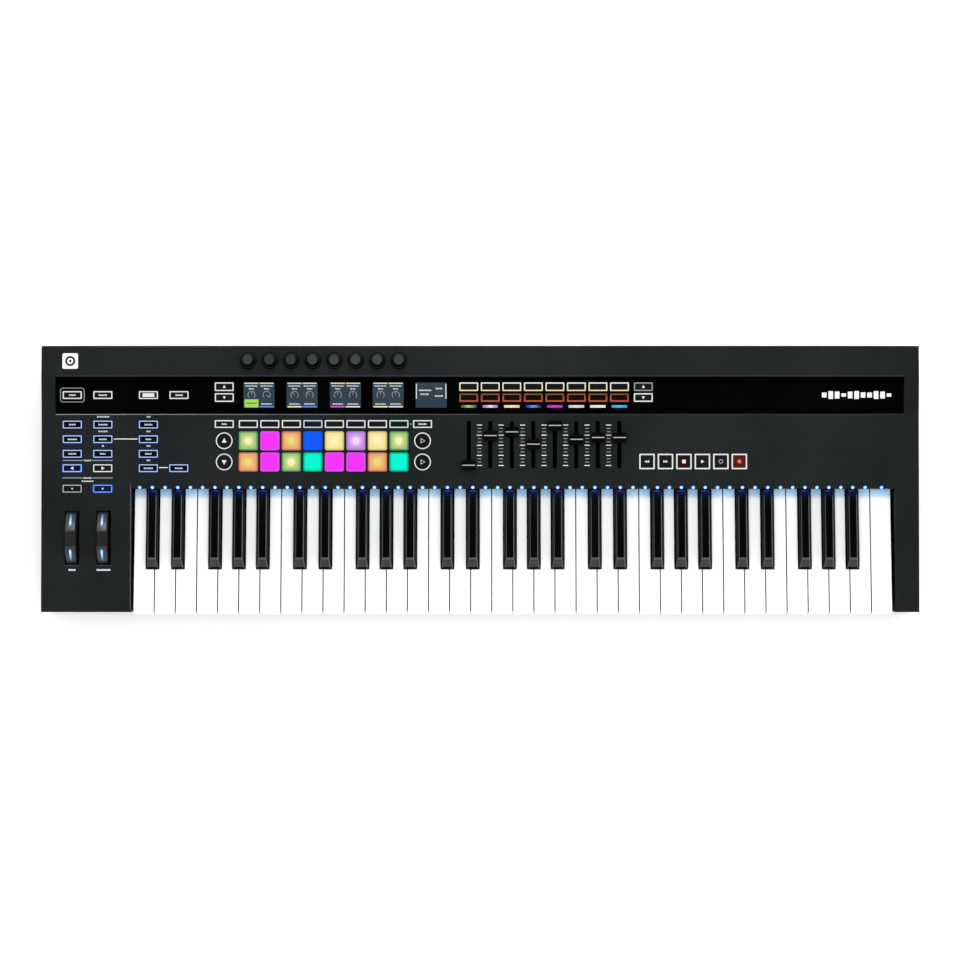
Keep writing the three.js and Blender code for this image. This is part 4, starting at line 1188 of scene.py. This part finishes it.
for x in JACK_X:
    fittings.band(circle(12 / math.sqrt(3), 6), circle(4.9, 6), 0, 1.6, facing_rear(x))
    ring(facing_rear(x), 5.1, 3.35, 2.2)
for x in MINI_X:
    ring(facing_rear(x), 3.1, 1.85, 0.9, 0, 24)
for x in DIN_X:
    ring(facing_rear(x), 9.2, 7.75, 0.6, 1, 40)
    # Near-black discs at the five pin places: painted shade in the socket's pin holes.
    for degrees in (0, 45, 90, 135, 180):
        turn = math.radians(degrees)
        z = SOCKET_Z + PIN_CIRCLE * math.sin(turn)
        at = facing_rear(x + PIN_CIRCLE * math.cos(turn), z, -DIN_SUNK)
        fittings.lathe([(0.95, -0.1), (0.95, 0.02), (0.75, 0.03)], at, 2, (0.004, 0.004, 0.004), sides=16)
ring(facing_rear(POWER_X), 4.6, 3.35, 0.7, 1)
fittings.band(rounded(10.6, 9.8, 1.0), rounded(9.5, 8.7, 0.8), 0, 0.7, facing_rear(USB_X))
for x in (-2, -0.7, 0.7, 2):
    fittings.block(0.7, 0.15, 0.05, -6, -3.2, 0.02, facing_rear(USB_X) @ moved(x, -1.8), 3)
fittings.outline(22.4, 15.8, 1.6, 1.3, 0, 0.8, facing_rear(SWITCH_X), 1)
PANEL_SCREW = [(2.4, 0), (2.4, 0.3), (2.0, 0.75), (1.2, 0.95), (0.6, 1.0)]
for x in (PANEL_LOW.x + 5, (USB_X + DIN_X[0]) / 2, 32, 116, PANEL_HIGH.x - 5):
    for z in (46.2, 61.8):
        # The cross in each head is near-black: painted shade in the recess.
        cross = (20, 1.3, 0.2, 0.8, 1.03)
        screw(fittings, facing_rear(x, z), PANEL_SCREW, cross, 2, (0.01, 0.01, 0.01), 20)
for x in (*JACK_X, *MINI_X, *DIN_X, POWER_X, USB_X, SWITCH_X):
    at = facing_rear(x, 64.0 if x in JACK_X + MINI_X else 64.2)
    fittings.plate(4.4, 0.7, -0.05, 0.03, at, 2, srgb(150, 153, 155))
fittings.make("case", "socket_plastic")

underside = Piece("underside_fittings", NICKEL, PAINTED_SHADE, INK_AND_PAINTED_LIGHT)
BASE_LOW = span("bottom_case")[0]
BASE_SCREW = [(3.2, 0), (3.2, 0.25), (2.7, 0.6), (1.6, 0.8), (0.6, 0.85)]


def facing_down(x, y):
    """The frame on the underside at (x, y) with Z pointing down."""
    return moved(x, y, BASE_LOW.z) @ turned(180, "X")


for x in (-424, -285, -142, 0, 142, 285, 424):
    for y in (-122, 10, 126):
        at = facing_down(x, y)
        # A near-black ring round each screw head, and the cross in it: painted shade in the recess.
        underside.lathe([(5.2, -0.05), (5.2, 0.03), (3.4, 0.035), (3.3, -0.02)], at, 1, sides=28)
        screw(underside, at, BASE_SCREW, (30, 1.7, 0.3, 0.6, 0.88), 1, WHITE, 24)
# Flat near-black slots: painted shade where the vent openings are.
for i in range(14):
    underside.block(3, 34, 1.5, -0.05, 0.05, 0.02, facing_down(-52 + 8 * i, 70), 1)
plate_at = facing_down(240, 66)
underside.block(96, 44, 2, -0.05, 0.25, 0.1, plate_at, 2, srgb(168, 171, 173))
for i in range(5):
    at = plate_at @ moved(-6, 14 - 6 * i)
    underside.block(70 - 9 * (i % 3), 1.5, 0.3, 0.2, 0.3, 0.02, at, 2, srgb(40, 42, 44))
underside.make("case", "base_plastic")

# ---- Screens and lights behind the window -------------------------------------------------------

SCREEN_X = (-245.6, -197.8, -149.7, -102.2, -54.4)
SCREEN_Y = 92.7
SCREEN_SIZE = (34.5, 28)
SCREEN_OVER = -0.44
DRAWN_HIGH = SCREEN_OVER + 0.05
LED_Y = 80.4
LED_SIZE = (17.2, 2.8)
SNOW = srgb(222, 226, 228)

screens = Piece("screens", SCREEN_GLASS, LIGHT)


def bar(at, x, y, w, d, tint, low=SCREEN_OVER, high=DRAWN_HIGH):
    screens.plate(w, d, low, high, at, 1, tint, x, y)


def dial(at, x, radius, turn):
    """An open ring with a pointer, as a screen shows a knob. Its middle is a little over the screen's."""
    y = 0.3
    steps = 14
    turns = [math.radians(-135 + 270 * step / steps + 90) for step in range(steps + 1)]
    arc = [(x + radius * math.cos(angle), y + radius * math.sin(angle)) for angle in turns]
    inner = radius - 0.75
    arc += [(x + inner * math.cos(angle), y + inner * math.sin(angle)) for angle in reversed(turns)]
    screens.prism(arc, SCREEN_OVER, DRAWN_HIGH, at, 1, GREY)
    angle = math.radians(turn + 90)
    c, s = math.cos(angle), math.sin(angle)
    tip_x, tip_y = x + radius * 0.85 * c, y + radius * 0.85 * s
    nx, ny = 0.35 * s, -0.35 * c
    pointer = [(x + nx, y + ny), (tip_x + nx, tip_y + ny), (tip_x - nx, tip_y - ny), (x - nx, y - ny)]
    screens.prism(pointer, SCREEN_OVER, DRAWN_HIGH, at, 1, GREY)


def screen_words(at, x, y, lengths, height, tint=SNOW, over=0.0):
    screens.words(at @ moved(x, y, over), lengths, height, tint, SCREEN_OVER - 0.2, gap=0.6)


def parameter_screen(at, tops, bottoms, filled, turns):
    """Two columns, each with a colour bar, two lines of words, a dial, a name and a colour bar."""
    for side, x in enumerate((-8.4, 8.4)):
        bar(at, x, 13.1, 15.6, 1.2, tops[side])
        screen_words(at, x, 10.2, (6.5, 6), 1.3)
        screen_words(at, x, 6.9, (2.2, 3), 1.3)
        dial(at, x, 4.4, turns[side])
        if filled and side == 0:
            bar(at, x, -9.2, 15.4, 9, bottoms[0])
            screen_words(at, x, -9, (5, 6), 1.5, srgb(70, 110, 60), 0.05)
        else:
            screen_words(at, x, -9.8, (5, 6), 1.4)
            bar(at, x, -12.9, 15.6, 1.5, bottoms[side])


def menu_screen(at):
    """Two upright bars with two lines between them, and a dark foot."""
    for x in (-16.4, 16.4):
        bar(at, x, 4.2, 1.1, 16.6, SNOW)
    for x, y, *lengths in ((-6.6, 5.4, 7, 6), (-7.4, 1.1, 5.5, 3), (8.6, 7.3, 7), (8.6, -0.9, 9)):
        screen_words(at, x, y, lengths, 1.7)
    bar(at, 0, -9.6, 34, 8.4, srgb(46, 64, 76), SCREEN_OVER - 0.02, SCREEN_OVER + 0.02)


SKY, BUTTER = srgb(92, 140, 226), srgb(240, 232, 176)

# Of each screen: colours of its upper and lower bars, whether one is filled, and its dials' angles.
SCREEN_BARS = (
    ((SNOW, BUTTER), (srgb(166, 220, 96), SKY), True, (-12, -140)),
    ((SNOW, SNOW), (BUTTER, SKY), False, (40, 48)),
    ((BUTTER, BUTTER), (srgb(216, 84, 214), SNOW), False, (0, 0)),
    ((SNOW, BUTTER), (BUTTER, SNOW), False, (0, 6)),
)
screen_places = [STRIP.place(x, SCREEN_Y) for x in SCREEN_X]
for at in screen_places:
    screens.block(*SCREEN_SIZE, 0.5, SCREEN_OVER - 3, SCREEN_OVER, 0.1, at)
for at, bars in zip(screen_places, SCREEN_BARS):
    parameter_screen(at, *bars)
menu_screen(screen_places[-1])
screens.make("case", "screen_glass", sharp=20)

# The ends' and the middle's colour of each column light.
LED_COLOURS = (
    (srgb(54, 96, 62), srgb(186, 214, 118)),
    (srgb(186, 90, 204), srgb(255, 236, 255)),
    (srgb(236, 220, 170), srgb(255, 244, 200)),
    (srgb(8, 36, 150), srgb(104, 160, 246)),
    (srgb(196, 44, 210), srgb(216, 66, 226)),
    (srgb(214, 206, 226), srgb(240, 238, 244)),
    (srgb(238, 236, 222), srgb(255, 250, 214)),
    (srgb(48, 168, 226), srgb(84, 196, 250)),
)


def column_light(piece, at, edge, core):
    """A lens whose light is strongest in its middle."""
    w, half = LED_SIZE[0], LED_SIZE[1] / 2
    low, high = -0.4, 0.03
    rings, tints = [], []
    for part in range(9):
        x = -w / 2 + w * part / 8
        rings.append([(x, -half, low), (x, half, low), (x, half, high), (x, -half, high)])
        tints.append(mixed(edge, core, (1 - abs(part - 4) / 4) ** 1.4))
    piece.loft(rings, at, 0, tints, clockwise=True)


led_bars = Piece("column_lights", LIGHT)
for i, colours in enumerate(LED_COLOURS):
    column_light(led_bars, STRIP.place(SOFT_FIRST_X + i * COLUMN_PITCH, LED_Y), *colours)
led_bars.make("case", "light_bar")

# ---- Key lights ---------------------------------------------------------------------------------

# Radius, height and colour of a small lens, from its foot to its top.
KEY_LENS = (
    (2.3, -0.5, srgb(10, 30, 110)),
    (2.1, 0.0, srgb(20, 70, 220)),
    (1.5, 0.25, srgb(120, 190, 255)),
    (0.9, 0.32, srgb(190, 240, 255)),
    (0.3, 0.35, srgb(230, 250, 255)),
)
KEY_LENS_LEVEL = 1.6


def key_light_x():
    """The middle of every key's rear end, from the bass to the treble."""
    for octave in range(OCTAVES + 1):
        for index in range(7 if octave < OCTAVES else 1):
            yield tail_middle(white_plan(octave, index))
            if octave < OCTAVES and index + 1 in BLACK_KEYS:
                yield black_x(octave, index + 1)


lights = Piece("key_lights", LIGHT)
lens_tints = [tuple(value * KEY_LENS_LEVEL for value in tint) for r, z, tint in KEY_LENS]
for x in key_light_x():
    at = moved(x, BAR_LOW.y + 1.3, BAR_HIGH.z - 0.9) @ turned(38, "X")
    lights.loft([lifted(circle(r, 20), z) for r, z, tint in KEY_LENS], at, 0, lens_tints)
lights.make("case", "light_bar", sharp=80)

# ---- Printing, painted highlights and painted shade ---------------------------------------------

TICK_TOP_Y = 59.9
TICK_PITCH = 3.72
TICKS = 13
INK_FOOT = -0.05
INK_OVER = 0.035
LABEL_WHITE = srgb(232, 234, 234)
LABEL_GREY = srgb(190, 193, 194)
LINE_GREY = srgb(158, 160, 162)
LABEL_RISE = 8.7
WHEEL_LINE_Y = -95.3
WHEEL_LABEL_Y = -100

deck_ink_and_painted_light = Piece("deck_print_and_painted_light", INK_AND_PAINTED_LIGHT, PAINTED_SHADE)


def stroke(piece, face, x, y, w, d, tint):
    piece.plate(w, d, INK_FOOT, INK_OVER, face.place(x, y), 0, tint)


def deck_word(x, y, length, tint=LABEL_GREY, height=1.8):
    deck_ink_and_painted_light.words(DECK.place(x, y), (length,), height, tint, -0.22, 0)


def section_line(x0, x1, y, word):
    """A line across a group of buttons with a short word in a gap at its middle."""
    centre = (x0 + x1) / 2
    for a, b in ((x0, centre - word / 2 - 1), (centre + word / 2 + 1, x1)):
        stroke(deck_ink_and_painted_light, DECK, (a + b) / 2, y, b - a, 0.8, LINE_GREY)
    deck_word(centre, y, word)


for column in range(COLUMNS - 1):
    x = SOFT_FIRST_X + (column + 0.5) * COLUMN_PITCH
    for tick in range(TICKS):
        size, tint = ((4.2, 0.65), srgb(158, 161, 162)) if tick % 3 else ((5.8, 0.85), LABEL_WHITE)
        stroke(deck_ink_and_painted_light, DECK, x, TICK_TOP_Y - tick * TICK_PITCH, *size, tint)

line_left, line_right = LEFT_COLUMN_X[0] - BUTTON[0] / 2, LEFT_COLUMN_X[1] + BUTTON[0] / 2
section_line(line_left, line_right, 20.8, 7.2)
section_line(line_left, line_right, 1.5, 9)
deck_word((line_left + line_right) / 2, -2.1, 13)
for y, length in zip(LEFT_ROW_Y, (13.4, 10.3, 2.2)):
    deck_word(LEFT_COLUMN_X[1], y + LABEL_RISE, length)
for y in LEFT_ROW_Y[:4]:
    deck_word(LEFT_COLUMN_X[2], y + LABEL_RISE, 4.1)
for x0, x1, y in ((*LEFT_COLUMN_X[1:3], LEFT_ROW_Y[1] + 0.3), (*LEFT_COLUMN_X[2:], LEFT_ROW_Y[3] + 0.7)):
    stroke(deck_ink_and_painted_light, DECK, (x0 + x1) / 2, y, x1 - x0 - BUTTON[0] - 2.6, 0.9, LABEL_WHITE)
stroke(deck_ink_and_painted_light, DECK, (select_caps[-1][0] + PAD_SIDE_X[1]) / 2, SELECT_Y, 2.2, 0.9, LINE_GREY)
# Under each wheel a light line, a painted highlight on the front edge of its slot, and its label.
for node, length in (("pitch_wheel", 7.5), ("mod_wheel", 15)):
    x = middle(node).x + 0.9
    stroke(deck_ink_and_painted_light, DECK, x, WHEEL_LINE_Y, 16, 0.6, srgb(64, 68, 70))
    deck_word(x, WHEEL_LABEL_Y, length, LABEL_WHITE, 2)
# A near-black ring round each knob: painted shadow in the gap round its skirt.
for node in KNOB_NODES:
    at = LEDGE.place(middle(node).x, LEDGE_Y, 0.05)
    deck_ink_and_painted_light.band(circle(9.3, 48), circle(7.9, 48), -0.1, INK_OVER, at, 1)
deck_ink_and_painted_light.make("case", "case_plastic")

# Painted highlights along the window's lower and upper edges and along the left edge of the key bay, and a
# line that glows round the first page button.
HIGHLIGHT_STEPS = 12
BAY_STEPS = 6

edge_highlights_and_outline = Piece("window_highlights_and_outline", INK_AND_PAINTED_LIGHT, LIGHT)
window_width = WINDOW_HIGH.x - WINDOW_LOW.x
for i in range(HIGHLIGHT_STEPS):
    x = WINDOW_LOW.x + window_width * (i + 0.5) / HIGHLIGHT_STEPS
    shine = mixed(srgb(136, 140, 142), srgb(46, 50, 52), min(i / 6, 1))
    stroke(edge_highlights_and_outline, STRIP, x, WINDOW_LOW.y - 0.75, window_width / HIGHLIGHT_STEPS, 0.75, shine)
stroke(edge_highlights_and_outline, STRIP, middle("display_window").x, WINDOW_HIGH.y + 0.6, window_width, 0.75, srgb(50, 54, 56))
edge_highlights_and_outline.outline(27.2, 16.2, 3, 0.9, -0.3, 0.04, page.at(page_caps[0]), 1, srgb(150, 153, 154))
length = (KEY_REAR - KEY_FRONT - 4) / BAY_STEPS
for part in range(BAY_STEPS):
    y = KEY_FRONT + 2.5 + length * (part + 0.5)
    stroke(edge_highlights_and_outline, DECK, KEYS_LEFT - 3.1, y, 0.9, length, srgb(74, 79, 82))
edge_highlights_and_outline.make("case", "case_plastic")

BADGE_X, BADGE_Y, BADGE = -455.2, 130.2, 17.3
BADGE_INK = srgb(30, 33, 34)

badge = Piece("badge", INK_AND_PAINTED_LIGHT)
at = LEDGE.place(BADGE_X, BADGE_Y, 0.08)
badge.prism(rounded(BADGE, BADGE, 1.6), -0.2, INK_OVER, at, 0, srgb(236, 237, 237))
badge.band(circle(5.6, 40), circle(3.4, 40), INK_OVER - 0.03, INK_OVER + 0.05, at, 0, BADGE_INK)
badge.prism(circle(1.5, 24), INK_OVER - 0.03, INK_OVER + 0.05, at, 0, BADGE_INK)
badge.make("case", "case_plastic")

MOTIF_X = 382
MOTIF_PITCH = 7.2

motif = Piece("window_motif", INK_AND_PAINTED_LIGHT)
for i in range(11):
    height = 3.4 + 5.4 * abs(math.sin(i * 0.9 + 0.4))
    at = STRIP.place(MOTIF_X + MOTIF_PITCH * i, STRIP_MIDDLE)
    motif.prism(rounded(5.2, height, 0.5), -0.15, 0.02, at, 0, srgb(228, 230, 231))
motif.make("case", "window_gloss")


# ---- CAD nodes that stay as they are ------------------------------------------------------------

NODE_LOOKS = {
    BOARD: ("display_board", "key_contact_board", "main_board", "encoder_board"),
    STEEL: ("key_frame",),
    FELT: ("key_felt",),
    CASE: ("key_light_bar",),
    SOCKET: ("wheel_bracket", "jack_board", "power_switch"),
    FOOT: ("foot_1", "foot_2", "foot_3", "foot_4"),
}
for look, nodes in NODE_LOOKS.items():
    for node in nodes:
        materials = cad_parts[node].data.materials
        materials.clear()
        materials.append(look.material)


# ---- Studio -------------------------------------------------------------------------------------

def floor():
    look = Look("floor", Roughness=0.9, Specular_IOR_Level=0.1)
    look.feed(Base_Color=look.shade(look.between(look.noise(3), 0, 1), (0.93,) * 3, (0.95,) * 3))
    look.feed(Emission_Color=(1, 1, 1, 1), Emission_Strength=0.25)
    mesh = bpy.data.meshes.new("floor")
    half = 30
    corners = [(-half, -half, 0), (half, -half, 0), (half, half, 0), (-half, half, 0)]
    mesh.from_pydata(corners, [], [(0, 1, 2, 3)])
    mesh.materials.append(look.material)
    made = bpy.data.objects.new("floor", mesh)
    bpy.context.scene.collection.objects.link(made)
    made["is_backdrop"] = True


def surroundings():
    """A bright horizon that fades to a dim ceiling."""
    world = bpy.data.worlds.new("studio")
    world.use_nodes = True
    nodes = world.node_tree.nodes
    links = world.node_tree.links
    where = nodes.new("ShaderNodeTexCoord")
    split = nodes.new("ShaderNodeSeparateXYZ")
    ramp = nodes.new("ShaderNodeValToRGB")
    for element, position, level in zip(ramp.color_ramp.elements, (0.1, 0.95), (1, 0.03)):
        element.position = position
        element.color = (level, level, level, 1)
    links.new(where.outputs["Generated"], split.inputs[0])
    links.new(split.outputs["Z"], ramp.inputs[0])
    links.new(ramp.outputs[0], nodes["Background"].inputs["Color"])
    nodes["Background"].inputs["Strength"].default_value = 0.9
    bpy.context.scene.world = world


def softbox(name, azimuth, elevation, distance, size, watts, mirrored=True):
    """A square area light that looks at the middle of the object. Glossy faces need not show it."""
    data = bpy.data.lights.new(name, "AREA")
    data.size = size
    data.energy = watts
    light = bpy.data.objects.new(name, data)
    turn, rise = math.radians(azimuth), math.radians(elevation)
    away = Vector((math.sin(turn) * math.cos(rise), -math.cos(turn) * math.cos(rise), math.sin(rise)))
    light.location = away * distance
    light.rotation_euler = away.to_track_quat("Z", "Y").to_euler()
    light.visible_glossy = mirrored
    bpy.context.scene.collection.objects.link(light)


def camera():
    """The camera stands over the middle of the keyboard, a little to the front."""
    tilt = math.radians(7.5)
    distance = 3.5
    aim = Vector((-0.2, 0.8, 60)) * MM
    data = bpy.data.cameras.new("camera")
    data.sensor_width = 36
    data.lens = 117.8
    data.clip_end = 100
    made = bpy.data.objects.new("camera", data)
    made.location = aim + Vector((0, -math.sin(tilt), math.cos(tilt))) * distance
    made.rotation_euler = (tilt, 0, 0)
    bpy.context.scene.collection.objects.link(made)
    bpy.context.scene.camera = made


floor()
surroundings()
softbox("rear_softbox", 180, 56, 3.2, 1.6, 42)
softbox("left_softbox", -82, 60, 3.2, 2.4, 30, False)
softbox("right_softbox", 84, 60, 3.2, 2.4, 40, False)
softbox("front_softbox", 5, 50, 3.4, 2.4, 36, False)
camera()
bpy.context.scene.view_settings.view_transform = "Standard"

boxes = {"cad_box": CAD_BOX, "visual_box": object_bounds()}
{name: [list(corner) for corner in box] for name, box in boxes.items()}
